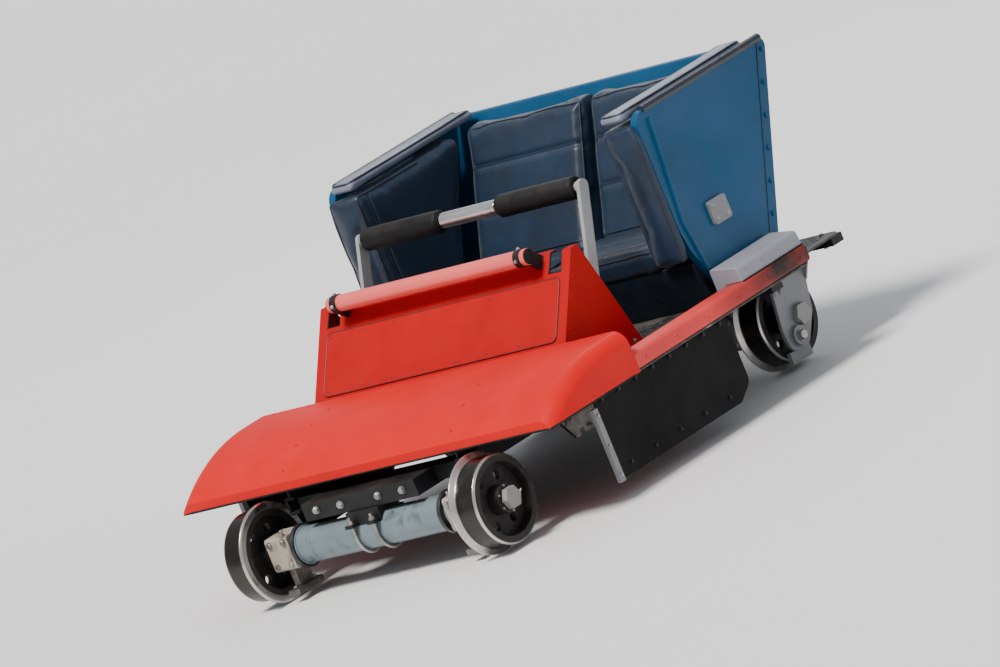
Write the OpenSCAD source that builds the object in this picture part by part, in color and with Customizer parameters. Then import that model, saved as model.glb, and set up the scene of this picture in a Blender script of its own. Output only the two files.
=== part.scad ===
// Lead car of an articulated roller coaster train, with one bench for two riders.
// X points forward to the nose, Y to the car's left, Z up from the floor it stands on.
// Lengths along the car are given as distances behind the nose lip.

/* [Running gear] */
// Distance between the front and rear axles
wheelbase = 1310; // [1200:5:1400]
// Radius of the wheel's tread
tread_r = 125; // [115:1:128]
// Height of the flange over the tread
flange_h = 15; // [10:1:18]
// Width of the tread
tread_w = 70; // [55:1:80]
// Width of the flange
flange_w = 14; // [10:1:18]
// Distance from the centre plane to the flange's inner face
gauge_half = 385; // [375:1:400]
// Radius of the stub axles that carry the wheels
stub_r = 24; // [18:1:30]
// Radius of the axle tubes
axle_tube_r = 50; // [40:1:55]
// Thickness of the light bearing blocks along the axle
block_w = 82; // [60:1:90]
// Height and length of the bearing blocks
block_size = 96; // [80:1:104]
// Distance of the front axle ahead of the nose lip
axle_lead = 30; // [10:1:60]
// Radius of the steering pin
king_pin_r = 20; // [15:1:26]
// Length of the steering pin inside its saddle
king_pin_l = 14; // [8:1:20]

/* [Frame] */
// Height of the frame rails' lower edge
frame_z = 215; // [205:1:225]
// Height of the channel frame rails
rail_h = 50; // [40:1:60]
// Width of the channel frame rails
rail_w = 35; // [25:1:45]
// Distance from the centre plane to the rails' inner edge
rail_y = 300; // [280:1:310]
// Wall of the channel frame rails
rail_t = 8; // [5:1:10]
// Height of the cross bars on the rails
bar_h = 25; // [20:1:40]
// Length of a cross bar along the car
bar_w = 50; // [40:1:60]
// Distance from the car's side in to the cross bars' ends and the skirts
bar_inset = 35; // [20:1:50]
// Thickness of the deck plate
deck_t = 6; // [4:1:10]
// Distance from the car's side in to the deck's edge
deck_inset = 5; // [0:1:15]
// Length of the deck behind the nose hood
deck_l = 1080; // [1000:5:1120]
// Distance of the hitch eye behind the rear axle
hitch_reach = 260; // [240:5:300]
// Outer radius of the hitch eye
eye_r = 38; // [30:1:45]
// Bore radius of the hitch eye
eye_bore_r = 16; // [12:1:20]
// Height of the hitch eye
eye_h = 50; // [40:1:60]
// Distance of the brake fins' front end behind the lip
fin_d = 520; // [480:5:560]
// Length of the brake fins
fin_l = 575; // [540:5:600]
// Height of the brake fins below the cross bars
fin_h = 155; // [120:5:170]
// Thickness of the brake fins
fin_t = 10; // [6:1:14]
// Distance from the centre plane to a brake fin
fin_y = 214; // [180:2:240]
// Reach of the catch dogs to the rear of their bar
dog_reach = 115; // [100:1:130]
// Drop of the catch dogs' tips below the cross bars
dog_drop = 150; // [130:1:165]
// Distance of the rollback dog from the centre plane
rollback_y = 120; // [90:2:150]

/* [Nose and dash] */
// Width of the nose hood, flush with the deck's sills
nose_w = 1390; // [1340:10:1420]
// Length of the nose hood
hood_l = 400; // [380:5:420]
// Height of the nose lip's lower edge
lip_z = 290; // [288:1:300]
// Height of the upright band along the lip
lip_band = 25; // [15:1:35]
// Height of the hood's crest
crest_z = 415; // [400:1:430]
// Distance of the crest behind the lip
crest_d = 320; // [300:5:350]
// Rounding of the hood's side edges
hood_round = 45; // [20:1:60]
// Width of the flange turned in along the hood's lower edge
lip_flange = 20; // [10:1:22]
// Wall of the hood's moulding
hood_t = 5; // [4:1:8]
// Width of the dash panel
dash_w = 940; // [910:10:970]
// Height of the dash panel's top edge
dash_top_z = 625; // [600:5:640]
// Height where the dash panel starts to lean back
dash_fold_z = 395; // [380:5:410]
// Distance that the dash panel leans back
dash_lean = 174; // [150:2:190]
// Length of the dash's flat top edge
dash_top_l = 28; // [20:1:40]
// Length of the dash's cheeks along the deck
dash_foot_l = 305; // [290:5:320]
// Thickness of the dash's sheet
dash_t = 5; // [4:1:8]
// Width of the flanges turned in along the cheeks' rear edges
dash_hem = 18; // [10:1:20]
// Radius of the bar in front of the dash
roll_r = 23; // [18:1:28]
// Half length of the bar in front of the dash
roll_half = 370; // [340:5:380]
// Distance from the dash panel to the bar's centre
roll_off = 58; // [45:1:65]

/* [Sides] */
// Gap between the seat shell and the sill strip
sill_gap = 45; // [20:1:60]
// Height of the sill strip
sill_h = 49; // [40:1:55]
// Length of the sill strip
sill_l = 800; // [740:5:820]
// Distance of the skirt panel's front edge behind the lip
skirt_d = 215; // [180:5:240]
// Length of the skirt panel
skirt_l = 605; // [580:5:700]
// Height of the skirt panel's lower edge
skirt_z = 60; // [40:1:90]
// Thickness of the skirt panel
skirt_t = 6; // [4:1:8]
// Length of the light strap at the skirt's front edge
strap_w = 20; // [15:1:30]

/* [Seat] */
// Half of the seat shell's outer width
shell_half = 580; // [560:5:600]
// Thickness of the side wings
wing_t = 25; // [18:1:30]
// Distance of the wings' front edge behind the lip
wing_d = 880; // [870:5:890]
// Height of the wings' top edge
wing_top_z = 870; // [840:5:880]
// Radius of the bead along the wings' top edge
bead_r = 11; // [8:1:14]
// Distance of the seat back's rear face behind the lip, at the deck
back_d = 1204; // [1190:2:1215]
// Lean of the seat back
recline = 27; // [22:1:28]
// Thickness of the seat back's shell
back_t = 30; // [20:1:40]
// Number of stiffening ribs on the seat back's rear face
back_ribs = 3; // [2:1:5]
// Width of a stiffening rib
back_rib_w = 45; // [30:1:60]
// Height of a stiffening rib over the rear face
back_rib_t = 16; // [8:1:18]
// Height of the seat pan's top
pan_z = 430; // [410:5:440]
// Distance of the seat pan's front face behind the lip
pan_d = 905; // [895:5:920]
// Thickness of the seat cushions
cushion_t = 65; // [50:1:75]
// Thickness of the back cushions
back_pad_t = 75; // [60:1:85]
// Thickness of the padded side bolsters
bolster_t = 92; // [80:1:100]
// Distance that the bolsters stand ahead of the wings
bolster_lead = 32; // [20:1:38]
// Distance of the wing plates' middle behind the wings' front edge
plate_back = 173; // [140:1:200]
// Height of the wing plates' middle above the deck
plate_up = 229; // [210:1:260]
// Length of the wing plates
plate_l = 76; // [60:1:90]
// Height of the wing plates
plate_h = 67; // [50:1:80]
// Thickness of the wing plates
plate_t = 12; // [8:1:16]

/* [Lap bar] */
// Distance of the lap bar's pivot behind the lip
pivot_d = 605; // [600:1:615]
// Height of the lap bar's pivot
pivot_z = 345; // [340:1:355]
// Distance of the lap bar's cross tube behind the lip
lap_d = 770; // [760:1:785]
// Height of the lap bar's cross tube
lap_z = 740; // [720:2:760]
// Half of the distance between the lap bar's arms
lap_half = 415; // [405:1:420]
// Radius of the lap bar's tube
lap_tube_r = 15; // [12:1:18]
// Half width of the lap bar's flat arms
arm_half_w = 19; // [17:1:22]
// Thickness of the lap bar's flat arms
arm_t = 12; // [8:1:16]
// Radius of the padded sleeves
lap_pad_r = 33; // [28:1:36]
// Radius of the bright middle grip
grip_r = 22; // [20:1:26]
// Half length of the bright middle grip
grip_half = 105; // [80:5:120]
// Radius of the lap bar's pivot pins
pivot_r = 12; // [8:1:15]

/* [Fits] */
// Running clearance round a shaft
running_gap = 0.05; // [0.02:0.01:0.08]
// Gap between pieces that seat on each other
seat_gap = 0.3; // [0.2:0.05:0.5]

/* [Hidden] */
$fn = 64;
arc_steps = 8;

// Colours
blue = [0.05, 0.36, 0.56];
navy = [0.10, 0.16, 0.25];
red = [0.86, 0.16, 0.17];
salmon = [0.90, 0.32, 0.28];
black = [0.09, 0.09, 0.10];
grey = [0.48, 0.53, 0.55];
cream = [0.74, 0.70, 0.64];
lavender = [0.62, 0.61, 0.68];
steel = [0.70, 0.70, 0.70];

// Running gear, worked out from the driving dimensions
flange_r = tread_r + flange_h;
axle_z = flange_r;
rear_reach = hitch_reach + eye_r;
front_axle_x = (flange_r + wheelbase + rear_reach) / 2 - flange_r;
rear_axle_x = front_axle_x - wheelbase;
lip_x = front_axle_x - axle_lead;
rear_axle_d = wheelbase - axle_lead;
wheel_w = tread_w + flange_w;
hub_r = stub_r + 16;
hub_out = 8;
rim_in_r = tread_r - 24;
web_t = 16;
wheel_hole_r = 13;
wheel_holes = 6;
side_play = 3;
collar_r = stub_r + 10;
nut_r = stub_r + 8;
nut_l = 18;
block_out = gauge_half - side_play - 9;
block_in = block_out - block_w;
ring_w = 12;
ring_off = 10;
ring_r = axle_tube_r + 11;
hub_end = gauge_half + wheel_w + hub_out;
shoe_z = 24;
shoe_h = 16;
shoe_l = 110;
shoe_w = 40;

// Frame
body_half = nose_w / 2;
bar_half = body_half - bar_inset;
deck_half = body_half - deck_inset;
bar_z = frame_z + rail_h;
deck_z = bar_z + bar_h;
floor_z = deck_z + deck_t;
saddle_half_l = 42;
saddle_half_w = 60;
saddle_floor = 4;
saddle_top = axle_z + axle_tube_r + saddle_floor + king_pin_l;
bolster_front_d = -axle_lead - saddle_half_l + 10;
bolster_rear_d = 100;
bolster_half = rail_y - 90;
bolster_foot = 70;
tail_half = shell_half + 10;
// Cross bars: distance of the middle behind the lip, half span
cross_rows = [[hood_l - 15, bar_half], [700, bar_half], [1070, bar_half],
    [hood_l + deck_l - 20, tail_half - 10]];
rail_front_d = 18;
rail_rear_d = cross_rows[3][0] + bar_w / 2;
eye_x = rear_axle_x - hitch_reach;
drawbar_w = 70;
drawbar_d = rear_axle_d + 90;
drawbar_plate = 30;
drawbar_gusset = 75;
drawbar_z = bar_z - eye_h;
bracket_y = hub_end + side_play + 20;
bracket_t = 10;
gusset_t = 8;
bracket_d = rear_axle_d + 20;
bracket_half = 80;
bracket_reach = 45;
boss_r = 27;
boss_d = rear_axle_d - 42;
boss_z = 92;
dog_w = 28;
dog_ear_t = 8;
dog_ear_h = 75;
dog_pin_r = 10;
dog_pin_drop = 52;
dog_top_drop = 34;
dog_arm_h = 32;
dog_tip_h = 38;

// Nose and dash
crest_rise = crest_z - lip_z - lip_band;
hood_r = (crest_d * crest_d + crest_rise * crest_rise) / (2 * crest_rise);
hood_axis_z = crest_z - hood_r;
rib_t = 8;
bulkhead_half = body_half - hood_t - 50;
dash_d = hood_l + 1;
dash_top_d = dash_d + dash_lean;
dash_rise = dash_top_z - dash_fold_z;
dash_slope = atan2(dash_lean, dash_rise);
slot_w = 46;
slot_drop = 48;
// Middle of the bar in front of the dash, a little below the panel's top edge
roll_drop = 22;
roll_d = dash_top_d - roll_off * cos(dash_slope) - roll_drop * sin(dash_slope);
roll_z = dash_top_z + roll_off * sin(dash_slope) - roll_drop * cos(dash_slope);

// Seat
sill_y = shell_half + sill_gap;
sill_w = body_half - sill_y;
cover_inset = 9;
cover_lap = 40;
cover_rise = 52;
cover_top = floor_z + sill_h + cover_rise;
wing_in = shell_half - wing_t;
seat_half = wing_in - bolster_t;
cushion_split = 6;
lean = tan(recline);
wing_foot = 100;
wing_step = 15;
wing_step_z = 165;
wing_front_z = 230;
wing_bend = 250;
cushion_top = pan_z + cushion_t;

// Lap bar
lap_rise = lap_z - pivot_z;
lap_back = lap_d - pivot_d;
lap_l = norm([lap_rise, lap_back]);
arm_boss_r = pivot_r + 13;
arm_boss_w = 34;
ear_t = 8;
ear_gap = 2;
ear_base = 8;
ear_half = 34;
ear_base_half = 50;

// Basic shapes and placing

function at(d, z) = [lip_x - d, z];
function unit(v) = v / norm(v);

// One rounded corner at p between the neighbours a and b, as a short row of points
function corner(a, p, b, r) = r == 0 ? [p] :
    let (u = unit(a - p), v = unit(b - p), half = acos(u * v) / 2,
        c = p + unit(u + v) * r / sin(half), s = p + u * r / tan(half) - c,
        start = atan2(s[1], s[0]), turn = (u[0] * v[1] - u[1] * v[0] > 0 ? -1 : 1) * (180 - 2 * half))
    [for (i = [0 : arc_steps]) c + r * [cos(start + turn * i / arc_steps), sin(start + turn * i / arc_steps)]];

// Outline from rows of [x, y, corner radius]
function outline(rows) = [for (i = [0 : len(rows) - 1])
    let (n = len(rows), a = rows[(i + n - 1) % n], p = rows[i], b = rows[(i + 1) % n])
    each corner([a[0], a[1]], [p[0], p[1]], [b[0], b[1]], p[2])];

// Outline in the car's side view from rows of [distance behind the lip, height, corner radius]
function side_outline(rows) = outline([for (r = rows) [lip_x - r[0], r[1], r[2]]]);

// Distance behind the lip of the seat back's rear face at height z
function back_at(z) = back_d + (z - floor_z) * lean;

module on_side(side) { mirror([0, side < 0 ? 1 : 0, 0]) children(); }
module both_sides() { for (side = [1, -1]) on_side(side) children(); }

// Prism with its outline in the side view, from y0 to y1
module side_prism(points, y0, y1) {
    translate([0, y1, 0]) rotate([90, 0, 0]) linear_extrude(y1 - y0) polygon(points);
}

// Box given by distances behind the lip, sides and heights
module box(d0, d1, y0, y1, z0, z1) {
    translate([lip_x - d1, y0, z0]) cube([d1 - d0, y1 - y0, z1 - z0]);
}

// Round bar along Y from y0 to y1, at a distance behind the lip and a height
module cross_rod(d, z, r, y0, y1) {
    translate([lip_x - d, y1, z]) rotate([90, 0, 0]) cylinder(r = r, h = y1 - y0);
}

// Body turned about a cross axis, from rows of [y, radius]
module turned_across(d, z, rows) {
    translate([lip_x - d, 0, z]) rotate([-90, 0, 0])
        rotate_extrude() polygon([for (r = rows) [r[1], r[0]]]);
}

// Running gear

// Flanged wheel with a dished web, its flange towards the car's middle
module wheel(d, side) {
    web_a = gauge_half + wheel_w / 2 - web_t / 2;
    web_b = web_a + web_t;
    outer = gauge_half + wheel_w;
    bore_r = stub_r + running_gap;
    on_side(side) difference() {
        turned_across(d, axle_z, [
            [gauge_half, bore_r], [gauge_half, hub_r], [web_a, hub_r], [web_a, rim_in_r],
            [gauge_half, rim_in_r], [gauge_half, flange_r - 4], [gauge_half + 4, flange_r],
            [gauge_half + flange_w - 6, flange_r], [gauge_half + flange_w, tread_r],
            [outer - 5, tread_r - 1], [outer, tread_r - 6], [outer, rim_in_r], [web_b, rim_in_r],
            [web_b, hub_r], [hub_end, hub_r], [hub_end, bore_r]]);
        for (i = [0 : wheel_holes - 1])
            translate([lip_x - d, 0, axle_z]) rotate([0, i * 360 / wheel_holes, 0])
                translate([(hub_r + rim_in_r) / 2, outer, 0]) rotate([90, 0, 0])
                    cylinder(r = wheel_hole_r, h = wheel_w);
    }
}

// Bearing block with its collar, stub axle and end nut
module block(d, side, stub_end, hanger) {
    half = block_size / 2;
    on_side(side) {
        side_prism(side_outline([[d - half, axle_z - half, 10], [d + half, axle_z - half, 10],
            [d + half, axle_z + half, 10], [d - half, axle_z + half, 10]]), block_in, block_out);
        cross_rod(d, axle_z, collar_r, block_out - 1, gauge_half - side_play);
        cross_rod(d, axle_z, stub_r, block_out - 1, stub_end);
        translate([lip_x - d, stub_end + nut_l, axle_z]) rotate([90, 0, 0])
            cylinder(r = nut_r, h = nut_l, $fn = 6);
        if (hanger)
            box(d - half + 8, d + half - 8, rail_y, rail_y + rail_w, axle_z + half - 1, frame_z);
    }
}

// Axle tube with a ring near each end
module axle_tube(d) {
    ring_a = block_in - ring_off - ring_w;
    ring_b = block_in - ring_off;
    turned_across(d, axle_z, [[-block_in, 0], [-block_in, axle_tube_r - 6], [-ring_b, axle_tube_r - 6],
        [-ring_b, ring_r], [-ring_a, ring_r], [-ring_a, axle_tube_r], [ring_a, axle_tube_r],
        [ring_a, ring_r], [ring_b, ring_r], [ring_b, axle_tube_r - 6], [block_in, axle_tube_r - 6],
        [block_in, 0]]);
}

module front_axle_tube() { color(grey) axle_tube(-axle_lead); }
module rear_axle_tube() { color(grey) axle_tube(rear_axle_d); }
module front_block_left() { color(cream) block(-axle_lead, 1, hub_end + side_play, false); }
module front_block_right() { color(cream) block(-axle_lead, -1, hub_end + side_play, false); }
module rear_block_left() { color(cream) block(rear_axle_d, 1, bracket_y + bracket_t + seat_gap, true); }
module rear_block_right() { color(cream) block(rear_axle_d, -1, bracket_y + bracket_t + seat_gap, true); }
module front_wheel_left() { color(steel) wheel(-axle_lead, 1); }
module front_wheel_right() { color(steel) wheel(-axle_lead, -1); }
module rear_wheel_left() { color(steel) wheel(rear_axle_d, 1); }
module rear_wheel_right() { color(steel) wheel(rear_axle_d, -1); }

// Saddle clamped on the front axle tube, with the blind bore for the steering pin
module axle_saddle() {
    color(black) difference() {
        box(-axle_lead - saddle_half_l, -axle_lead + saddle_half_l, -saddle_half_w, saddle_half_w,
            axle_z + axle_tube_r / 3, saddle_top);
        cross_rod(-axle_lead, axle_z, axle_tube_r, -saddle_half_w - 1, saddle_half_w + 1);
        translate([front_axle_x, 0, saddle_top - king_pin_l - saddle_floor / 2])
            cylinder(r = king_pin_r + running_gap, h = king_pin_l + saddle_floor);
    }
}

// Hold-down shoes under the front bearing blocks
module front_rail_shoes() {
    arm_y = block_in + (block_w - shoe_w) / 2;
    color(black) both_sides() {
        box(-axle_lead - 30, -axle_lead + 30, arm_y + 10, arm_y + shoe_w - 10, shoe_z + shoe_h - 1,
            axle_z - block_size / 2);
        side_prism(side_outline([[-axle_lead - shoe_l / 2, shoe_z, 6], [-axle_lead + shoe_l / 2, shoe_z, 6],
            [-axle_lead + shoe_l / 2, shoe_z + shoe_h, 3], [-axle_lead - shoe_l / 2, shoe_z + shoe_h, 3]]),
            arm_y, arm_y + shoe_w);
    }
}

// Outboard plate of the rear wheel, from the deck down to its lower boss and shoe
module rear_bracket(side) {
    color(grey) on_side(side) {
        difference() {
            side_prism(side_outline([[bracket_d - bracket_half, deck_z, 0],
                [bracket_d + bracket_half, deck_z, 0], [rear_axle_d + 55, axle_z - 10, 30],
                [boss_d + 38, boss_z - 36, 30], [boss_d - 40, boss_z - 36, 30],
                [boss_d - 48, boss_z + 30, 30]]), bracket_y, bracket_y + bracket_t);
            cross_rod(rear_axle_d, axle_z, stub_r + seat_gap, bracket_y - 1, bracket_y + bracket_t + 1);
        }
        box(bracket_d - bracket_half, bracket_d + bracket_half, bracket_y + bracket_t - 1,
            bracket_y + bracket_t + bracket_reach, deck_z - bracket_t, deck_z);
        for (d = [bracket_d - bracket_half + 20, bracket_d + bracket_half - 20])
            translate([lip_x - d - gusset_t / 2, 0, 0]) rotate([90, 0, 90]) linear_extrude(gusset_t)
                polygon([[bracket_y + bracket_t - 1, deck_z - bracket_t + 1],
                    [bracket_y + bracket_t + bracket_reach - 5, deck_z - bracket_t + 1],
                    [bracket_y + bracket_t - 1, deck_z - bracket_half]]);
        cross_rod(boss_d, boss_z, boss_r, bracket_y + bracket_t - 1, bracket_y + bracket_t + 14);
        box(boss_d - bracket_reach, boss_d + bracket_reach, bracket_y - 12, bracket_y + 1, shoe_z,
            boss_z - boss_r - 7);
    }
}
module rear_bracket_left() { rear_bracket(1); }
module rear_bracket_right() { rear_bracket(-1); }

// Frame

// Channel rails, open towards the car's middle
module frame_rails() {
    color(black) both_sides() difference() {
        box(rail_front_d, rail_rear_d, rail_y, rail_y + rail_w, frame_z, bar_z);
        box(rail_front_d - 1, rail_rear_d + 1, rail_y - 1, rail_y + rail_w - rail_t,
            frame_z + rail_t, bar_z - rail_t);
    }
}

module cross_bars() {
    color(black) for (row = cross_rows)
        box(row[0] - bar_w / 2, row[0] + bar_w / 2, -row[1], row[1], bar_z, deck_z);
}

// Bolster between the rails' front ends, with the steering pin that the front axle swivels on
module king_bolster() {
    color(black) {
        box(bolster_front_d, bolster_rear_d, -bolster_half, bolster_half,
            saddle_top + seat_gap, bar_z - rail_t);
        box(bolster_rear_d - bolster_foot, bolster_rear_d, -rail_y, rail_y, frame_z, bar_z - rail_t);
        translate([front_axle_x, 0, saddle_top - king_pin_l])
            cylinder(r = king_pin_r, h = king_pin_l + 10);
    }
}

// Deck plate, narrower behind the sills
module deck() {
    tail_x = lip_x - hood_l - sill_l;
    front_x = lip_x - hood_l;
    rear_x = front_x - deck_l;
    color(black) translate([0, 0, deck_z]) linear_extrude(deck_t) polygon(outline([
        [front_x, -deck_half, 0], [front_x, deck_half, 0], [tail_x, deck_half, 20],
        [tail_x, tail_half, 0], [rear_x, tail_half, 40], [rear_x, -tail_half, 40],
        [tail_x, -tail_half, 0], [tail_x, -deck_half, 20]]));
}

// Drawbar from the rear cross bar to the hitch eye, with a gusset on each side
module drawbar() {
    cross_x = lip_x - drawbar_d - drawbar_plate;
    color(black) {
        both_sides() translate([0, 0, drawbar_z + 12]) linear_extrude(gusset_t)
            polygon([[cross_x + 1, drawbar_w / 2 - 1], [cross_x + 1, drawbar_w / 2 + drawbar_gusset],
                [cross_x - drawbar_gusset - 10, drawbar_w / 2 - 1]]);
        difference() {
            union() {
                box(drawbar_d, rear_axle_d + hitch_reach, -drawbar_w / 2, drawbar_w / 2,
                    drawbar_z + 5, bar_z);
                translate([eye_x, 0, drawbar_z]) cylinder(r = eye_r, h = eye_h);
            }
            translate([eye_x, 0, drawbar_z - 1]) cylinder(r = eye_bore_r, h = eye_h + 2);
        }
        box(drawbar_d, drawbar_d + drawbar_plate, -rail_y, rail_y, frame_z, bar_z - 9);
    }
}

// Upright fins that the track's brakes grip
module brake_fins() {
    low = bar_z - fin_h;
    step = 0.4 * fin_h;
    color(steel) both_sides()
        side_prism(side_outline([[fin_d, bar_z, 0], [fin_d + fin_l, bar_z, 0],
            [fin_d + fin_l, bar_z - step, 0], [fin_d + fin_l - step, low, 12],
            [fin_d + step, low, 12], [fin_d, bar_z - step, 0]]), fin_y, fin_y + fin_t);
}

// Catch under the frame: a pair of ears, a pin and the dog itself
module dog(d, y) {
    reach = d + dog_reach;
    tip_z = bar_z - dog_drop;
    top_z = bar_z - dog_top_drop;
    half = dog_w / 2;
    translate([0, y, 0]) {
        for (e = [-half - dog_ear_t, half])
            side_prism(side_outline([[d - 25, bar_z, 0], [d + 25, bar_z, 0],
                [d + 22, bar_z - dog_ear_h, 20], [d - 22, bar_z - dog_ear_h, 20]]), e, e + dog_ear_t);
        cross_rod(d, bar_z - dog_pin_drop, dog_pin_r, -half - 2 * dog_ear_t, half + 2 * dog_ear_t);
        side_prism(side_outline([[d - 20, top_z, 14], [d + 24, top_z, 14], [reach, tip_z + dog_tip_h, 6],
            [reach - 34, tip_z, 6], [d - 24, top_z - dog_arm_h, 14]]), -half, half);
    }
}
module chain_dog() { color(steel) dog(cross_rows[1][0], 0); }
module rollback_dog() { color(steel) dog(cross_rows[2][0], -rollback_y); }

// Nose and dash

// Solid under the hood's skin: a drum with rounded rims, cut at the lip, and its level rear part
module hood_form(inset) {
    half = body_half - inset;
    r = hood_r - inset;
    round_r = hood_round - inset;
    intersection() {
        translate([lip_x - crest_d, 0, hood_axis_z]) rotate([-90, 0, 0]) rotate_extrude() union() {
            translate([0, -half]) square([r - round_r, 2 * half]);
            translate([0, -half + round_r]) square([r, 2 * (half - round_r)]);
            for (s = [1, -1]) translate([r - round_r, s * (half - round_r)]) circle(r = round_r);
        }
        box(inset, crest_d, -nose_w, nose_w, lip_z - inset, crest_z + 10);
    }
    translate([lip_x - hood_l - inset, 0, 0]) rotate([90, 0, 90])
        linear_extrude(hood_l + inset - crest_d) union() {
            translate([-half, lip_z - inset]) square([2 * half, crest_z - round_r - lip_z]);
            translate([-half + round_r, lip_z - inset])
                square([2 * (half - round_r), crest_z - lip_z]);
            for (s = [1, -1]) translate([s * (half - round_r), crest_z - inset - round_r]) circle(r = round_r);
        }
}

// Shell of even wall with a flange turned in along its lower edge
module nose_hood() {
    half = body_half;
    color(red) {
        difference() {
            hood_form(0);
            hood_form(hood_t);
        }
        difference() {
            intersection() {
                hood_form(0);
                box(0, hood_l, -half, half, lip_z, lip_z + hood_t);
            }
            box(lip_flange, hood_l + 1, -half + lip_flange, half - lip_flange,
                lip_z - 1, lip_z + hood_t + 1);
        }
    }
}

// Ribs on the frame rails that carry the hood, and the bulkhead behind it
module nose_ribs() {
    inner_r = hood_r - hood_t - seat_gap;
    color(black) {
        for (side = [1, -1]) on_side(side) intersection() {
            cross_rod(crest_d, hood_axis_z, inner_r, rail_y + 10, rail_y + 10 + rib_t);
            box(20, crest_d, rail_y, rail_y + rail_w, bar_z, crest_z);
        }
        box(cross_rows[0][0] - rib_t / 2, cross_rows[0][0] + rib_t / 2, -bulkhead_half, bulkhead_half, deck_z,
            crest_z - hood_t - seat_gap);
    }
}

// Side view of the dash: an upright foot, the leaning panel and the open rear
function dash_outline(inset) = let (k = inset / cos(dash_slope) - inset * tan(dash_slope),
    past = inset > 0 ? 1 : 0) [
    at(dash_d + inset, floor_z - past), at(dash_d + inset, dash_fold_z - inset * tan(dash_slope / 2)),
    at(dash_top_d + k, dash_top_z - inset), at(dash_top_d + dash_top_l + past, dash_top_z - inset),
    at(dash_d + dash_foot_l + 60 * past, floor_z - past)];

// Folded sheet, open to the rear, with slots for the lap bar's arms and flanges along the cheeks
module dash_cowl() {
    half = dash_w / 2;
    top = at(dash_top_d + dash_top_l, dash_top_z);
    foot = at(dash_d + dash_foot_l, floor_z);
    color(red) {
        both_sides()
            side_prism([top, foot, foot + [dash_t, 0], top + [dash_t, 0]], half - dash_hem, half - 1);
        difference() {
            side_prism(dash_outline(0), -half, half);
            side_prism(dash_outline(dash_t), -half + dash_t, half - dash_t);
            both_sides() box(dash_top_d - slot_drop * tan(dash_slope) - 12, dash_top_d + dash_top_l + 5,
                lap_half - slot_w / 2, lap_half + slot_w / 2, dash_top_z - slot_drop, dash_top_z + 5);
        }
    }
}

module dash_bar() { color(salmon) cross_rod(roll_d, roll_z, roll_r, -roll_half, roll_half); }

// Brackets from the panel to the bar's ends
module dash_bar_brackets() {
    foot = 20;
    color(black) both_sides()
        translate([lip_x - dash_top_d, 0, dash_top_z]) rotate([0, -dash_slope, 0])
            translate([0, roll_half - 14, -roll_drop - foot]) difference() {
                cube([roll_off, 11, 2 * foot]);
                translate([roll_off, 12, foot]) rotate([90, 0, 0]) cylinder(r = roll_r + seat_gap, h = 13);
            }
}

// Sides

module sills() {
    rows = [[sill_y, floor_z, 0], [sill_y + sill_w, floor_z, 12], [sill_y + sill_w, floor_z + sill_h, 14],
        [sill_y, floor_z + sill_h, 4]];
    color(salmon) both_sides() translate([lip_x - hood_l - sill_l, 0, 0]) rotate([90, 0, 90])
        linear_extrude(sill_l) polygon(outline(rows));
}

module skirt(side) {
    color(black) on_side(side)
        side_prism(side_outline([[skirt_d, deck_z, 0], [skirt_d + skirt_l, deck_z, 0],
            [skirt_d + skirt_l, skirt_z + 40, 25], [skirt_d + skirt_l - 60, skirt_z, 25],
            [skirt_d, skirt_z, 0]]), bar_half, bar_half + skirt_t);
}
module skirt_left() { skirt(1); }
module skirt_right() { skirt(-1); }

module skirt_straps() {
    color(grey) both_sides()
        box(skirt_d - strap_w, skirt_d, bar_half - 4, bar_half + skirt_t + 4, skirt_z - 5, deck_z - 25);
}

// Covers on the sills beside the seat, over the rear wheels
module wheel_covers() {
    front_d = wing_d + cover_lap;
    outer = body_half - cover_inset;
    rear_d = hood_l + sill_l;
    color(lavender) both_sides()
        translate([lip_x - rear_d, 0, 0]) rotate([90, 0, 90]) linear_extrude(rear_d - front_d)
            polygon(outline([[sill_y - seat_gap, floor_z + sill_h, 0], [outer, floor_z + sill_h, 0],
                [outer - 6, cover_top - 10, 14],
                [shell_half + 6, cover_top, 6],
                [shell_half + 6, floor_z, 0], [sill_y - seat_gap, floor_z, 0]]));
}

// Seat

// Side view of a wing: upright front, level top and a rear edge in line with the seat back
function wing_rows(inset) = [[wing_d + wing_foot + inset, floor_z, 0],
    [wing_d + wing_step + inset, floor_z + wing_step_z, 60], [wing_d + inset, floor_z + wing_front_z, 60],
    [wing_d + inset, wing_top_z, 45],
    [back_at(wing_top_z), wing_top_z, 20], [back_at(floor_z), floor_z, 0]];

// Wing panel with a bead along its top edge and a ridge beside its front edge
module wing(side) {
    ridge_d = wing_d + 55;
    bend_z = floor_z + wing_bend;
    color(blue) on_side(side) {
        side_prism(side_outline(wing_rows(0)), wing_in, shell_half);
        translate([lip_x - back_at(wing_top_z) + 25, shell_half - bead_r / 2, wing_top_z])
            rotate([0, 90, 0]) cylinder(r = bead_r, h = back_at(wing_top_z) - wing_d - 70);
        side_prism(side_outline([[ridge_d - 6, wing_top_z - 30, 0], [ridge_d + 6, wing_top_z - 30, 0],
            [ridge_d - 24, bend_z, 60], [ridge_d + 2, cover_top + 4, 0], [ridge_d - 12, cover_top + 4, 0],
            [ridge_d - 36, bend_z, 60]]), shell_half - 1, shell_half + 7);
    }
}
module wing_left() { wing(1); }
module wing_right() { wing(-1); }

module wing_plates() {
    d = wing_d + plate_back - plate_l / 2;
    z = floor_z + plate_up - plate_h / 2;
    color(grey) both_sides()
        side_prism(side_outline([[d, z, 8], [d + plate_l, z, 8], [d + plate_l, z + plate_h, 8],
            [d, z + plate_h, 8]]), shell_half, shell_half + plate_t);
}

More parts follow.
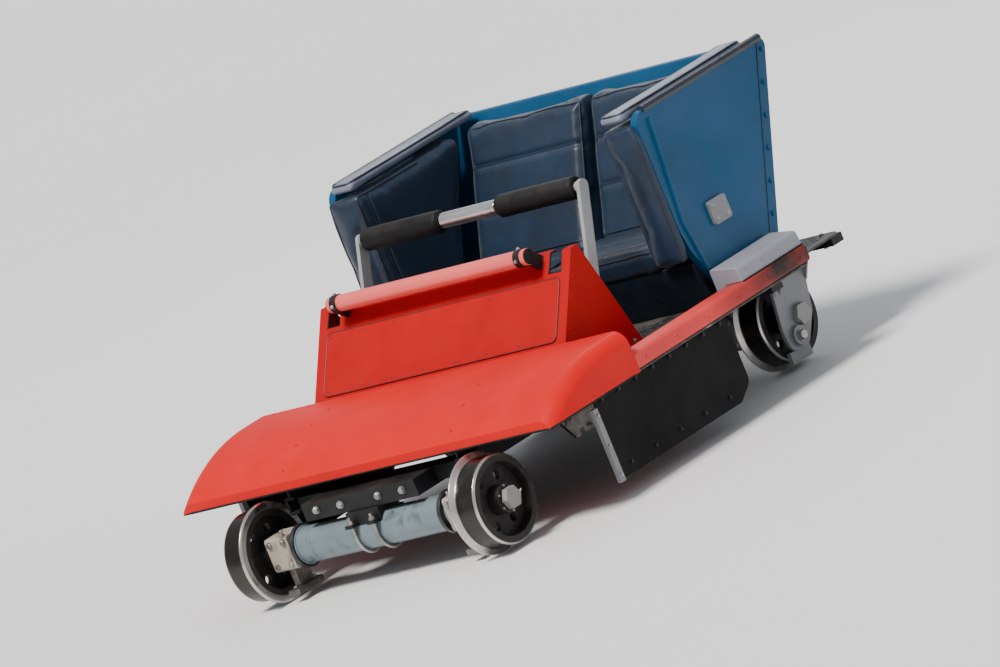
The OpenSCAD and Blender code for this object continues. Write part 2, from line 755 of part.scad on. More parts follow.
// Padded bolster: a pad along the wing's inner face, with a flap round the wing's front edge
module bolster(side) {
    pad_rear = back_t + back_pad_t + 22;
    front_d = wing_d - bolster_lead;
    top_z = wing_top_z - 12;
    color(navy) on_side(side) {
        side_prism(side_outline([[front_d, pan_z, 25], [back_at(pan_z) - pad_rear, pan_z, 0],
            [back_at(top_z) - pad_rear, top_z, 30], [front_d, top_z, 25]]), seat_half, wing_in - seat_gap);
        side_prism(side_outline([[front_d + 3, pan_z + 3, 16], [wing_d - 1, pan_z + 3, 0],
            [wing_d - 1, top_z - 3, 0], [front_d + 3, top_z - 3, 16]]), wing_in - 10, shell_half - 4);
    }
}
module bolster_left() { bolster(1); }
module bolster_right() { bolster(-1); }

module seat_pan() {
    rear = back_t / cos(recline) + seat_gap;
    color(navy) side_prism([at(pan_d + 40, floor_z), at(pan_d, pan_z - 40), at(pan_d, pan_z),
        at(back_at(pan_z) - rear, pan_z), at(back_at(floor_z) - rear, floor_z)], -wing_in, wing_in);
}

// Seat back with upright ribs on its rear face
module seat_back() {
    t = back_t / cos(recline);
    rise = back_rib_t / cos(recline);
    low = floor_z + 25;
    high = wing_top_z - 45;
    pitch = 2 * wing_in / back_ribs;
    color(blue) {
        side_prism(side_outline([[back_at(floor_z) - t, floor_z, 0], [back_at(floor_z), floor_z, 0],
            [back_at(wing_top_z - 4), wing_top_z - 4, 10],
            [back_at(wing_top_z - 4) - t, wing_top_z - 4, 10]]), -wing_in, wing_in);
        for (i = [0 : back_ribs - 1]) let (y = -wing_in + (i + 0.5) * pitch)
            side_prism(side_outline([[back_at(low) - 2, low, 0], [back_at(low + 25) + rise, low + 25, 12],
                [back_at(high - 25) + rise, high - 25, 12], [back_at(high) - 2, high, 0]]),
                y - back_rib_w / 2, y + back_rib_w / 2);
    }
}

module seat_cushions() {
    rear_gap = (back_t + back_pad_t) / cos(recline);
    color(navy) both_sides()
        side_prism(side_outline([[pan_d - 30, pan_z + seat_gap, 12],
            [back_at(pan_z) - rear_gap, pan_z + seat_gap, 0],
            [back_at(cushion_top) - rear_gap, cushion_top, 0], [pan_d - 30, cushion_top, 25]]),
            cushion_split, seat_half - 3);
}

module back_cushions() {
    t = (back_t + seat_gap) / cos(recline);
    pad = back_pad_t / cos(recline) - 2;
    color(navy) both_sides()
        side_prism(side_outline([[back_at(pan_z) - t, pan_z + seat_gap, 0],
            [back_at(wing_top_z - 14) - t, wing_top_z - 14, 20],
            [back_at(wing_top_z - 14) - t - pad, wing_top_z - 14, 25],
            [back_at(pan_z) - t - pad + 4, pan_z + seat_gap, 0]]), cushion_split, seat_half - 3);
}

// Lap bar

// Foot plates and ears on the deck, with the pins that the lap bar turns on
module lap_pivots() {
    ear_in = lap_half - arm_boss_w / 2 - ear_gap;
    ear_out = lap_half + arm_boss_w / 2 + ear_gap;
    color(black) both_sides() {
        box(pivot_d - ear_base_half, pivot_d + ear_base_half,
            ear_in - ear_t - ear_base, ear_out + ear_t + ear_base,
            floor_z, floor_z + ear_base);
        for (y = [ear_in - ear_t, ear_out])
            side_prism(side_outline([[pivot_d - ear_half, floor_z, 0], [pivot_d + ear_half, floor_z, 0],
                [pivot_d + ear_half - 10, pivot_z + 22, 20],
                [pivot_d - ear_half + 10, pivot_z + 22, 20]]), y, y + ear_t);
        cross_rod(pivot_d, pivot_z, pivot_r, ear_in - ear_t - 5, ear_out + ear_t - 1);
    }
}

// Flat arms with bored bosses and the cross tube between them
module lap_bar() {
    along = [-lap_back, lap_rise] / lap_l;
    across = [along[1], -along[0]] * arm_half_w;
    foot = at(pivot_d, pivot_z);
    head = at(lap_d, lap_z) + along * arm_half_w;
    rows = [for (p = [foot + across, head + across, head - across, foot - across])
        [p[0], p[1], p[1] > lap_z - arm_half_w ? arm_half_w - 2 : 0]];
    color(grey) difference() {
        union() {
            cross_rod(lap_d, lap_z, lap_tube_r, -lap_half, lap_half);
            for (y = [-lap_half, lap_half]) {
                side_prism(outline(rows), y - arm_t / 2, y + arm_t / 2);
                cross_rod(pivot_d, pivot_z, arm_boss_r, y - arm_boss_w / 2, y + arm_boss_w / 2);
            }
        }
        for (y = [-lap_half, lap_half])
            cross_rod(pivot_d, pivot_z, pivot_r + running_gap, y - arm_boss_w, y + arm_boss_w);
    }
}

// Sleeve on the lap bar's cross tube
module sleeve(r, y0, y1) {
    turned_across(lap_d, lap_z, [[y0, lap_tube_r + seat_gap], [y0, r - 3], [y0 + 3, r], [y1 - 3, r],
        [y1, r - 3], [y1, lap_tube_r + seat_gap]]);
}
module lap_bar_pads() { color(black) both_sides() sleeve(lap_pad_r, grip_half + 4, lap_half - 18); }
module lap_bar_grip() { color(steel) sleeve(grip_r, -grip_half, grip_half); }

frame_rails();
cross_bars();
king_bolster();
deck();
drawbar();
front_axle_tube();
axle_saddle();
front_block_left();
front_block_right();
front_rail_shoes();
front_wheel_left();
front_wheel_right();
rear_axle_tube();
rear_block_left();
rear_block_right();
rear_bracket_left();
rear_bracket_right();
rear_wheel_left();
rear_wheel_right();
brake_fins();
chain_dog();
rollback_dog();
nose_hood();
nose_ribs();
dash_cowl();
dash_bar();
dash_bar_brackets();
sills();
skirt_left();
skirt_right();
skirt_straps();
wheel_covers();
wing_left();
wing_right();
wing_plates();
bolster_left();
bolster_right();
seat_pan();
seat_back();
seat_cushions();
back_cushions();
lap_pivots();
lap_bar();
lap_bar_pads();
lap_bar_grip();
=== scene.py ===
# Dresses the lead car of a roller coaster train around its CAD frame
# Metres, X forward, Y to the car's left, Z up
import math
import bmesh
import bpy
from mathutils import Matrix, Vector, noise
from mathutils.bvhtree import BVHTree


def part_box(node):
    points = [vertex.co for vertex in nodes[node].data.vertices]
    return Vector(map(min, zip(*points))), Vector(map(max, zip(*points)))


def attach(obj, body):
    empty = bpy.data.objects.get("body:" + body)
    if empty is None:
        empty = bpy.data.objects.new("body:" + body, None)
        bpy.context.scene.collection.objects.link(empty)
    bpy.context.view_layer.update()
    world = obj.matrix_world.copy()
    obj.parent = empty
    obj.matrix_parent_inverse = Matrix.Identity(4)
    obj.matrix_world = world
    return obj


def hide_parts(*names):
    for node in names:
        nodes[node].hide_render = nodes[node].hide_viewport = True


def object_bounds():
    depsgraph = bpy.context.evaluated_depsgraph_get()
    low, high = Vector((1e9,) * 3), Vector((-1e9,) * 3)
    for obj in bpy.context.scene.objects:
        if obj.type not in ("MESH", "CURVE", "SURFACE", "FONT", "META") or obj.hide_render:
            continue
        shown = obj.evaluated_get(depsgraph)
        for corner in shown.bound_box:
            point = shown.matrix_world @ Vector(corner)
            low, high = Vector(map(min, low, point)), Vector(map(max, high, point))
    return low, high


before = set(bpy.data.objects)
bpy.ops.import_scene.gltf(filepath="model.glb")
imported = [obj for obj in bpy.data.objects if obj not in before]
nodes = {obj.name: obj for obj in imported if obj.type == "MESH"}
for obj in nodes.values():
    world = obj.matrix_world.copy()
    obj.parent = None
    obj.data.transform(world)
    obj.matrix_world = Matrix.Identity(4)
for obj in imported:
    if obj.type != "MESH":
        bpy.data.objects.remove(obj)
cadLow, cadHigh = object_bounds()
print("frame loaded:", len(nodes), "CAD nodes")

hair = 0.0002  # keeps two skins that lie on each other apart
# Axes of the car
ahead, left, up = (1, 0, 0), (0, 1, 0), (0, 0, 1)
right, down = (0, -1, 0), (0, 0, -1)


# Node trees: a value is an output socket or a number, and each sum or product adds its node

def feed(socket, value):
    if isinstance(value, bpy.types.NodeSocket):
        socket.id_data.links.new(value, socket)
    elif socket.type == "RGBA":
        socket.default_value = (*value[:3], 1)
    else:
        socket.default_value = value


def newNode(tree, kind, inputs, output=0, **settings):
    node = tree.nodes.new("ShaderNode" + kind)
    for name, value in settings.items():
        setattr(node, name, value)
    for key, value in inputs.items():
        feed(node.inputs[key], value)
    return node.outputs[output]


def calc(operation, *values):
    tree = next(value.id_data for value in values if isinstance(value, bpy.types.NodeSocket))
    return newNode(tree, "Math", dict(enumerate(values)), operation=operation)


def plus(first, *others):
    for other in others:
        first = calc("ADD", first, other)
    return first


def times(first, *others):
    for other in others:
        first = calc("MULTIPLY", first, other)
    return first


def minus(first, second):
    return calc("SUBTRACT", first, second)


def held(value):
    # a sum or product kept between 0 and 1
    value.node.use_clamp = True
    return value


def spread(value, low, high, toLow=0.0, toHigh=1.0):
    return newNode(value.id_data, "MapRange", dict(enumerate((value, low, high, toLow, toHigh))))


def blendColor(factor, first, second):
    return newNode(factor.id_data, "Mix", {6: first, 7: second, 0: factor}, 2, data_type="RGBA")


def cloud(place, scale, detail=4.0, roughness=0.55):
    given = {"Vector": place, "Scale": scale, "Detail": detail, "Roughness": roughness}
    return newNode(place.id_data, "TexNoise", given, "Fac")


def patches(place, scale, detail, roughness, low, high, toLow=0.0, toHigh=1.0):
    return spread(cloud(place, scale, detail, roughness), low, high, toLow, toHigh)


def stretched(place, scale, turn=(0, 0, 0), middle=(0, 0, 0)):
    given = {"Vector": place, "Scale": scale, "Rotation": turn, "Location": middle}
    return newNode(place.id_data, "Mapping", given, "Vector")


def partOf(place, axis):
    return newNode(place.id_data, "SeparateXYZ", {0: place}, axis)


def fromMiddle(place):
    return calc("ABSOLUTE", partOf(place, "Y"))


def fromAxle(place, x, z):
    # distance from a line across the car at x and z
    flat = stretched(place, (1, 0, 1), middle=(-x, 0, -z))
    return newNode(place.id_data, "VectorMath", {0: flat}, "Value", operation="LENGTH")


def between(value, low, high, soft=0.0006):
    return times(spread(value, low - soft, low + soft), spread(value, high - soft, high + soft, 1.0, 0.0))


def newGroup(name, inputs, outputs):
    # the place on the object is always the last input
    tree = bpy.data.node_groups.new(name, "ShaderNodeTree")
    for label, value in inputs + [("Place", None)]:
        kind = "Color" if isinstance(value, tuple) else "Vector" if value is None else "Float"
        socket = tree.interface.new_socket(label, in_out="INPUT", socket_type="NodeSocket" + kind)
        if value is not None:
            socket.default_value = value
    for label in outputs:
        kind = "Color" if label == "Color" else "Float"
        tree.interface.new_socket(label, in_out="OUTPUT", socket_type="NodeSocket" + kind)
    given = tree.nodes.new("NodeGroupInput").outputs
    return given, given["Place"], tree.nodes.new("NodeGroupOutput").inputs


def useGroup(place, name, **values):
    node = place.id_data.nodes.new("ShaderNodeGroup")
    node.node_tree = bpy.data.node_groups[name]
    for label, value in values.items():
        feed(node.inputs[label], value)
    feed(node.inputs["Place"], place)
    return node.outputs


# Effects that several materials share
middleGrey = (0.5, 0.5, 0.5, 1)


def stain(result, mask, under, over):
    feed(result["Color"], blendColor(mask, under, over))
    feed(result["Mask"], mask)


def makeEdgeWear():
    inputs = [("Paint", middleGrey), ("Bare", (0.3, 0.3, 0.3, 1)), ("Amount", 0.5), ("Radius", 0.004)]
    given, place, result = newGroup("edgeWear", inputs, ["Color", "Mask"])
    rounded = newNode(place.id_data, "Bevel", {"Radius": given["Radius"]}, "Normal", samples=4)
    flat = newNode(place.id_data, "NewGeometry", {}, "Normal")
    across = newNode(place.id_data, "VectorMath", {0: rounded, 1: flat}, "Value", operation="DOT_PRODUCT")
    edge = spread(across, 0.995, 0.88)
    need = calc("MULTIPLY_ADD", given["Amount"], -0.36, 0.74)
    flakes = times(held(times(minus(cloud(place, 70, 6, 0.7), need), 14)), edge)
    rubs = held(times(minus(cloud(place, 19, 9, 0.72), plus(need, 0.07)), 9))
    stain(result, calc("MAXIMUM", flakes, rubs), given["Paint"], given["Bare"])


def makeSettledDust():
    inputs = [("Color", middleGrey), ("Dust", (0.3, 0.27, 0.23, 1)), ("Amount", 0.3)]
    given, place, result = newGroup("settledDust", inputs, ["Color", "Mask"])
    upward = partOf(newNode(place.id_data, "TexCoord", {}, "Normal"), "Z")
    lying = times(spread(upward, 0.2, 0.95, 0.25, 1.0), patches(place, 11, 8, 0.66, 0.38, 0.72))
    specks = times(patches(place, 260, 2, 0.55, 0.42, 0.66, 0.55, 1.0), given["Amount"])
    stain(result, times(lying, specks), given["Color"], given["Dust"])


def makePaintSkin():
    given, place, result = newGroup("paintSkin", [("Peel", 260.0), ("Scuffs", 0.3)], ["Height", "Dulled"])
    cells = {"Vector": stretched(place, (9, 38, 24), (0.4, 0.3, 0.7)), "Scale": 1.0}
    scratch = newNode(place.id_data, "TexVoronoi", cells, "Distance", feature="DISTANCE_TO_EDGE")
    marks = times(spread(scratch, 0.018, 0.0), given["Scuffs"], patches(place, 5, 5, 0.55, 0.48, 0.62))
    ripples = plus(times(cloud(place, given["Peel"], 2), 0.35), times(cloud(place, 7, 2), 2.5))
    feed(result["Height"], minus(ripples, times(marks, 0.5)))
    feed(result["Dulled"], plus(times(patches(place, 3.5, 7, 0.62, 0.4, 0.7), given["Scuffs"]), marks))


def makeVinylGrain():
    given, place, result = newGroup("vinylGrain", [("Scale", 420.0)], ["Height", "Tone"])
    cells = newNode(place.id_data, "TexVoronoi", {"Vector": place, "Scale": given["Scale"]}, "Distance")
    creases = cloud(stretched(place, (22, 60, 22), (0.3, 0.2, 0.5)), 1.0, 6, 0.6)
    feed(result["Height"], plus(times(spread(cells, 0.0, 0.75, 1.0, 0.0), 0.5), times(creases, 1.6)))
    feed(result["Tone"], times(patches(place, 9, 4, 0.55, 0.3, 0.7), spread(creases, 0.25, 0.7, 0.7, 1)))


def makeBrushedLines():
    given, place, result = newGroup("brushedLines", [("Strength", 1.0)], ["Height", "Dulled"])
    lines = cloud(place, 1.0, 5, 0.7)
    feed(result["Height"], times(lines, given["Strength"]))
    feed(result["Dulled"], spread(lines, 0.3, 0.7))


def makeGrease():
    inputs = [("Color", middleGrey), ("Grease", (0.012, 0.010, 0.008, 1)), ("Amount", 0.5)]
    given, place, result = newGroup("greaseStain", inputs, ["Color", "Mask"])
    stains = calc("MAXIMUM", cloud(stretched(place, (26, 26, 7)), 1.0, 6, 0.62), cloud(place, 14, 5))
    need = minus(0.78, times(given["Amount"], 0.4))
    stain(result, held(times(minus(stains, need), 6)), given["Color"], given["Grease"])


for makeEffect in (makeEdgeWear, makeSettledDust, makePaintSkin, makeVinylGrain, makeBrushedLines, makeGrease):
    makeEffect()
print("shared effects ready:", len(bpy.data.node_groups))


# Materials

finish = {}


def newMaterial(name, gloss=0.5):
    material = finish[name] = bpy.data.materials.new(name)
    material.use_nodes = True
    surface = material.node_tree.nodes["Principled BSDF"].inputs
    surface["Specular IOR Level"].default_value = gloss
    return surface, newNode(material.node_tree, "TexCoord", {}, "Object")


def raiseBy(surface, height, strength, distance):
    given = {"Strength": strength, "Distance": distance, "Height": height}
    feed(surface["Normal"], newNode(height.id_data, "Bump", given, "Normal"))


def paint(name, color, shade=0.72, rough=0.38, coat=0.0, bare=(0.16, 0.14, 0.13), wear=0.35, dusty=0.25,
          greasy=0.0, peel=260, scuffs=0.3, bump=0.25, gloss=0.5, over=None, second=(0, 0, 0)):
    surface, place = newMaterial(name, gloss)
    base = blendColor(patches(place, 4.5, 6, 0.6, 0.36, 0.64), [c * shade for c in color], color)
    if over:  # a second colour where its mask says
        base = blendColor(over(place), base, second)
    worn = useGroup(place, "edgeWear", Paint=base, Bare=bare, Amount=wear, Radius=0.004)
    colored = worn["Color"]
    if greasy:
        colored = useGroup(place, "greaseStain", Color=colored, Amount=greasy)["Color"]
    dusted = useGroup(place, "settledDust", Color=colored, Dust=(0.30, 0.27, 0.23), Amount=dusty)
    feed(surface["Base Color"], dusted["Color"])
    skin = useGroup(place, "paintSkin", Peel=peel, Scuffs=scuffs)
    dull = plus(times(skin["Dulled"], 0.35), times(dusted["Mask"], 0.5))
    feed(surface["Roughness"], held(plus(dull, rough)))
    feed(surface["Metallic"], times(worn["Mask"], 0.7))
    if coat:
        feed(surface["Coat Weight"], held(minus(coat, dull)))
        surface["Coat Roughness"].default_value = 0.08
    raiseBy(surface, minus(skin["Height"], times(worn["Mask"], 0.8)), bump, 0.0012)


def steel(name, color, dark, rough, lines, strength=0.25, greasy=0.0, rusty=0.0):
    surface, place = newMaterial(name)
    brushed = useGroup(stretched(place, lines), "brushedLines", Strength=1.0)
    colored = blendColor(patches(place, 16, 6, 0.62, 0.36, 0.66), dark, color)
    rusted = times(patches(place, 34, 8, 0.7, 0.62 - 0.2 * rusty, 0.70 - 0.2 * rusty), min(1.0, 2 * rusty))
    colored = blendColor(rusted, colored, (0.12, 0.05, 0.025))
    if greasy:
        colored = useGroup(place, "greaseStain", Color=colored, Amount=greasy)["Color"]
    feed(surface["Base Color"], colored)
    feed(surface["Metallic"], spread(rusted, 0, 1, 0.95, 0.25))
    feed(surface["Roughness"], held(plus(times(brushed["Dulled"], 0.22), rough, times(rusted, 0.4))))
    raiseBy(surface, minus(brushed["Height"], times(rusted, 0.6)), strength, 0.0004)


def wheelSteel(name, axleX, axleZ, look):
    # bright on the flange and the tread's corners, duller where it rolls, dark scale with grease on the web
    surface, place = newMaterial(name)
    radius = fromAxle(place, axleX, axleZ)
    rim = spread(radius, look["brightFrom"] - 0.001, look["brightFrom"] + 0.001)
    rolled = times(rim, patches(place, 22, 6, 0.55, 0.25, 0.5, 0.65))
    scale = blendColor(patches(place, 30, 7, 0.55, 0.35, 0.65), look["scale"], look["dark"])
    greased = useGroup(place, "greaseStain", Color=scale, Amount=look["greasy"])
    treadBand = between(fromMiddle(place), look["treadFrom"], look["treadTo"], 0.002)
    polished = blendColor(treadBand, look["bright"], look["tread"])
    feed(surface["Base Color"], blendColor(rolled, greased["Color"], polished))
    feed(surface["Metallic"], spread(rolled, 0, 1, 0.35, 1.0))
    fine = cloud(stretched(place, (30, 900, 30)), 1.0, 3)
    feed(surface["Roughness"], plus(spread(rolled, 0, 1, 0.52, 0.22), times(fine, 0.12)))
    rings = calc("SINE", times(radius, look["turningMarks"]))
    raiseBy(surface, plus(rings, cloud(place, 120, 5)), 0.18, 0.0004)


def vinyl(name, color, shade, rough=0.42, grain=420, worn=(0.09, 0.12, 0.17)):
    surface, place = newMaterial(name, 0.45)
    grained = useGroup(place, "vinylGrain", Scale=grain)
    polished = patches(place, 6, 6, 0.6, 0.52, 0.72)
    base = blendColor(times(polished, 0.35), blendColor(grained["Tone"], shade, color), worn)
    dusted = useGroup(place, "settledDust", Color=base, Amount=0.07)
    feed(surface["Base Color"], dusted["Color"])
    feed(surface["Roughness"], minus(plus(times(dusted["Mask"], 0.6), rough), times(polished, 0.1)))
    surface["Sheen Weight"].default_value = 0.08
    raiseBy(surface, grained["Height"], 0.5, 0.0006)


def foam(name, color, shade, rough, scale, bump=0.5):
    surface, place = newMaterial(name, 0.22)
    pores = cloud(place, scale, 5, 0.7)
    base = blendColor(patches(place, 20, 6, 0.55, 0.35, 0.65), shade, color)
    feed(surface["Base Color"], useGroup(place, "settledDust", Color=base, Amount=0.10)["Color"])
    feed(surface["Roughness"], plus(times(pores, 0.2), rough))
    raiseBy(surface, pores, bump, 0.0006)


def centreOf(node):
    low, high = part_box(node)
    return (low.x + high.x) / 2, (low.z + high.z) / 2


frontX, axleZ = centreOf("front_wheel_left")
rearX = centreOf("rear_wheel_left")[0]
deckLow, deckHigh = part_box("deck")
deckTop = deckHigh.z
stubBand = (0.3736, 0.60)  # stub axles and their nuts, beyond the blocks
ringBand = (0.2686, 0.2814)  # the axle tubes' rings, on both sides


# painted shade: darker towards the sill's rear, where the seat shell shades it
def shadeTowardsRear(place):
    return times(spread(partOf(place, "X"), -0.05, -0.34), patches(place, 12, 6, 0.55, 0.3, 0.6, 0.75))


def onStubs(place):
    return between(fromMiddle(place), *stubBand, 0.0003)


def onRings(place):
    return between(fromMiddle(place), *ringBand, 0.0003)


# Colours are linear; the sill's red turns maroon towards the rear, which is painted shade
paint("frameBlack", (0.007, 0.0075, 0.009), rough=0.45, wear=0.45, dusty=0.13, greasy=0.25,
      bare=(0.09, 0.07, 0.06), gloss=0.3)
paint("deckPlate", (0.016, 0.017, 0.019), rough=0.45, wear=0.65, dusty=0.45, bare=(0.20, 0.19, 0.18))
paint("axleGrey", (0.15, 0.20, 0.225), shade=0.8, rough=0.3, coat=0.2, wear=0.3, dusty=0.2, greasy=0.45,
      over=onRings, second=(0.012, 0.012, 0.014))
paint("blockCream", (0.40, 0.35, 0.29), shade=0.85, rough=0.45, wear=0.35, dusty=0.15, greasy=0.5, over=onStubs,
      second=(0.24, 0.235, 0.225))
paint("bracketGrey", (0.20, 0.21, 0.225), shade=0.78, rough=0.42, wear=0.45, dusty=0.3, greasy=0.35)
paint("noseRed", (0.66, 0.002, 0.003), shade=0.9, rough=0.45, coat=0.04, wear=0.16, dusty=0.05, peel=90,
      bare=(0.60, 0.22, 0.20), bump=0.12, scuffs=0.22, gloss=0.16)
paint("dashRed", (0.44, 0.0004, 0.002), shade=0.86, rough=0.48, coat=0.02, wear=0.25, dusty=0.04, bump=0.12,
      gloss=0.13)
paint("trimMaroon", (0.14, 0.006, 0.010), shade=0.8, rough=0.4, wear=0.3, dusty=0.1)
# the bar's pale pink base is partly its red paint and partly a painted highlight along its top
paint("barRed", (0.88, 0.125, 0.115), shade=0.9, rough=0.34, coat=0.2, wear=0.5, dusty=0.12,
      bare=(0.42, 0.28, 0.26), gloss=0.4)
# the sill's second colour, mixed in towards the rear, is painted shade
paint("sillRed", (0.72, 0.050, 0.048), shade=0.85, rough=0.45, wear=0.45, dusty=0.12, bare=(0.12, 0.082, 0.075),
      gloss=0.25, over=shadeTowardsRear, second=(0.018, 0.010, 0.009))
paint("skirtBlack", (0.0035, 0.0035, 0.0045), rough=0.6, wear=0.22, dusty=0.07, scuffs=0.5,
      bare=(0.05, 0.05, 0.055), gloss=0.16)
paint("coverLavender", (0.26, 0.265, 0.31), shade=0.85, rough=0.42, wear=0.4, dusty=0.3)
paint("shellBlue", (0.0012, 0.066, 0.160), shade=0.82, rough=0.42, coat=0.1, wear=0.2, dusty=0.05, peel=90,
      bare=(0.06, 0.20, 0.32), bump=0.14, scuffs=0.3, gloss=0.22)
paint("panNavy", (0.003, 0.008, 0.018), shade=0.8, rough=0.5, wear=0.25, dusty=0.15, gloss=0.25,
      bare=(0.05, 0.07, 0.09))
paint("barGrey", (0.34, 0.35, 0.36), shade=0.8, rough=0.35, wear=0.5, dusty=0.15, bare=(0.38, 0.37, 0.36))
steel("wornSteel", (0.34, 0.32, 0.30), (0.13, 0.12, 0.11), 0.34, (8, 300, 300), greasy=0.35, rusty=0.35)
steel("gripBright", (0.80, 0.80, 0.79), (0.60, 0.60, 0.60), 0.16, (300, 6, 300), strength=0.15)
steel("zinc", (0.46, 0.46, 0.45), (0.22, 0.22, 0.21), 0.32, (200, 200, 200), greasy=0.2, rusty=0.2)
vinyl("vinylNavy", (0.003, 0.021, 0.056), (0.0012, 0.009, 0.024), worn=(0.014, 0.046, 0.092))
# painted highlight: a pale vinyl that stands for glare on the navy top pads
vinyl("vinylPaintedGlare", (0.21, 0.23, 0.31), (0.13, 0.145, 0.20), worn=(0.32, 0.33, 0.38))
vinyl("pipingNavy", (0.004, 0.012, 0.030), (0.002, 0.005, 0.014), rough=0.38, grain=900)
foam("foamBlack", (0.007, 0.007, 0.008), (0.0035, 0.0035, 0.004), 0.5, 700)
foam("rubberBlack", (0.009, 0.009, 0.010), (0.005, 0.005, 0.005), 0.55, 260, 0.3)
foam("thread", (0.13, 0.17, 0.24), (0.07, 0.09, 0.13), 0.6, 1500, 0.3)
wheelLook = {"brightFrom": 0.1195, "treadFrom": 0.402, "treadTo": 0.462, "bright": (0.60, 0.59, 0.56),
             "tread": (0.060, 0.057, 0.053), "dark": (0.030, 0.028, 0.026), "scale": (0.013, 0.012, 0.012),
             "greasy": 0.5, "turningMarks": 2600.0}
wheelSteel("frontWheel", frontX, axleZ, wheelLook)
wheelSteel("rearWheel", rearX, axleZ, wheelLook)
print("materials ready:", len(finish))


# The CAD nodes keep their shape: each gets its finish and a small rounding of its edges

def dress(names, material, rounding=0.0015):
    for name in names.split():
        piece = nodes[name]
        if not piece.material_slots:
            piece.data.materials.append(None)
        for holder in piece.material_slots:
            holder.material = finish[material]
        piece.modifiers.new("weld", "WELD").merge_threshold = 0.00002
        flat = piece.modifiers.new("flat", "DECIMATE")
        flat.decimate_type = "DISSOLVE"
        flat.angle_limit = math.radians(0.3)
        bevel = piece.modifiers.new("bevel", "BEVEL")
        bevel.width = rounding
        bevel.segments = 2
        bevel.limit_method = "ANGLE"
        bevel.angle_limit = math.radians(32)
        piece.modifiers.new("normals", "WEIGHTED_NORMAL").keep_sharp = False


dress("frame_rails cross_bars king_bolster drawbar nose_ribs axle_saddle lap_pivots", "frameBlack")
dress("dash_bar_brackets", "frameBlack", 0.0008)
dress("deck", "deckPlate", 0.001)
dress("front_axle_tube rear_axle_tube", "axleGrey", 0.0012)
dress("front_block_left front_block_right rear_block_left rear_block_right", "blockCream", 0.0012)
dress("rear_bracket_left rear_bracket_right", "bracketGrey", 0.0012)
dress("skirt_straps wing_plates", "bracketGrey", 0.001)
dress("front_wheel_left front_wheel_right", "frontWheel", 0.0008)
dress("rear_wheel_left rear_wheel_right", "rearWheel", 0.0008)
dress("front_rail_shoes brake_fins chain_dog rollback_dog", "wornSteel", 0.001)
dress("nose_hood", "noseRed", 0.001)
dress("dash_cowl", "dashRed")
dress("dash_bar", "barRed", 0.002)
dress("sills", "sillRed")
dress("skirt_left skirt_right", "skirtBlack", 0.0012)
dress("wheel_covers", "coverLavender", 0.003)
dress("wing_left wing_right seat_back", "shellBlue", 0.003)
dress("seat_pan", "panNavy", 0.003)
dress("lap_bar", "barGrey", 0.0012)
dress("lap_bar_grip", "gripBright", 0.001)
print("CAD nodes dressed")


# Where things are on the frame

def extreme(node, toward):
    # the corner of a node that lies furthest a given way
    toward = Vector(toward)
    return max((v.co for v in nodes[node].data.vertices), key=toward.dot).copy()


def broadFace(node, toward):
    # middle and direction of the largest flat face that looks a given way
    toward = Vector(toward).normalized()
    face = max(nodes[node].data.polygons, key=lambda f: f.area * max(0.0, f.normal.dot(toward)) ** 4)
    return face.center.copy(), face.normal.copy()


def onFace(face, z, y, out=0.0):
    # a point on a leaning face's plane at a height
    middle, normal = face
    return Vector((middle.x - normal.z * (z - middle.z) / normal.x, y, z)) + normal * out


def hits(node, starts, way):
    # where rays first meet a node, and the directions its skin faces there
    bm = bmesh.new()
    bm.from_mesh(nodes[node].data)
    skin = BVHTree.FromBMesh(bm)
    bm.free()
    return [skin.ray_cast(Vector(start), Vector(way))[:2] for start in starts]


def hit(node, start, way):
    return hits(node, [start], way)[0][0]


def outerY(node, x, z):
    return hit(node, (x, 1, z), right).y


def innerY(node, x, z):
    return hit(node, (x, 0, z), left).y


def topOf(node, x, y):
    return hit(node, (x, y, 1), down).z


def underOf(node, x, y):
    return hit(node, (x, y, -1), up).z


def evenly(low, high, count):
    return [low + (high - low) * i / (count - 1) for i in range(count)]


# Tools for new meshes; what is made stands on the chassis unless a body is given

def moved(bm, way):
    bmesh.ops.translate(bm, vec=way, verts=bm.verts)


def scaled(bm, sizes):
    bmesh.ops.scale(bm, vec=sizes, verts=bm.verts)


def asPiece(name, bm, material, sharp=35, body="chassis"):
    bmesh.ops.remove_doubles(bm, verts=bm.verts, dist=0.00001)
    bmesh.ops.recalc_face_normals(bm, faces=bm.faces)
    mesh = meshOf(name, bm)
    mesh.shade_smooth()
    mesh.set_sharp_from_angle(angle=math.radians(sharp))
    mesh.materials.append(finish[material])
    piece = objectOf(name, mesh)
    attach(piece, body)
    return piece


def meshOf(name, bm):
    mesh = bpy.data.meshes.new(name)
    bm.to_mesh(mesh)
    bm.free()
    return mesh


def objectOf(name, data):
    made = bpy.data.objects.new(name, data)
    bpy.context.scene.collection.objects.link(made)
    return made


def evaluated(thing):
    return bpy.data.meshes.new_from_object(thing.evaluated_get(bpy.context.evaluated_depsgraph_get()))


def mirrorOf(bm):
    twin = bm.copy()
    scaled(twin, (1, -1, 1))
    bmesh.ops.reverse_faces(twin, faces=twin.faces)
    return twin


def pairOf(name, bm, material, sharp=35, body="chassis"):
    asPiece(name + "_right", mirrorOf(bm), material, sharp, body)
    asPiece(name + "_left", bm, material, sharp, body)


def facing(point, axis, turn=0.0, size=1.0):
    look = Vector(axis).to_track_quat("Z", "Y").to_matrix().to_4x4()
    return Matrix.Translation(Vector(point)) @ look @ Matrix.Rotation(turn, 4, "Z") @ Matrix.Scale(size, 4)


def stamp(bm, template, matrices):
    for matrix in matrices:
        count = len(bm.verts)
        bm.from_mesh(template)
        bm.verts.ensure_lookup_table()
        bmesh.ops.transform(bm, matrix=matrix, verts=bm.verts[count:])


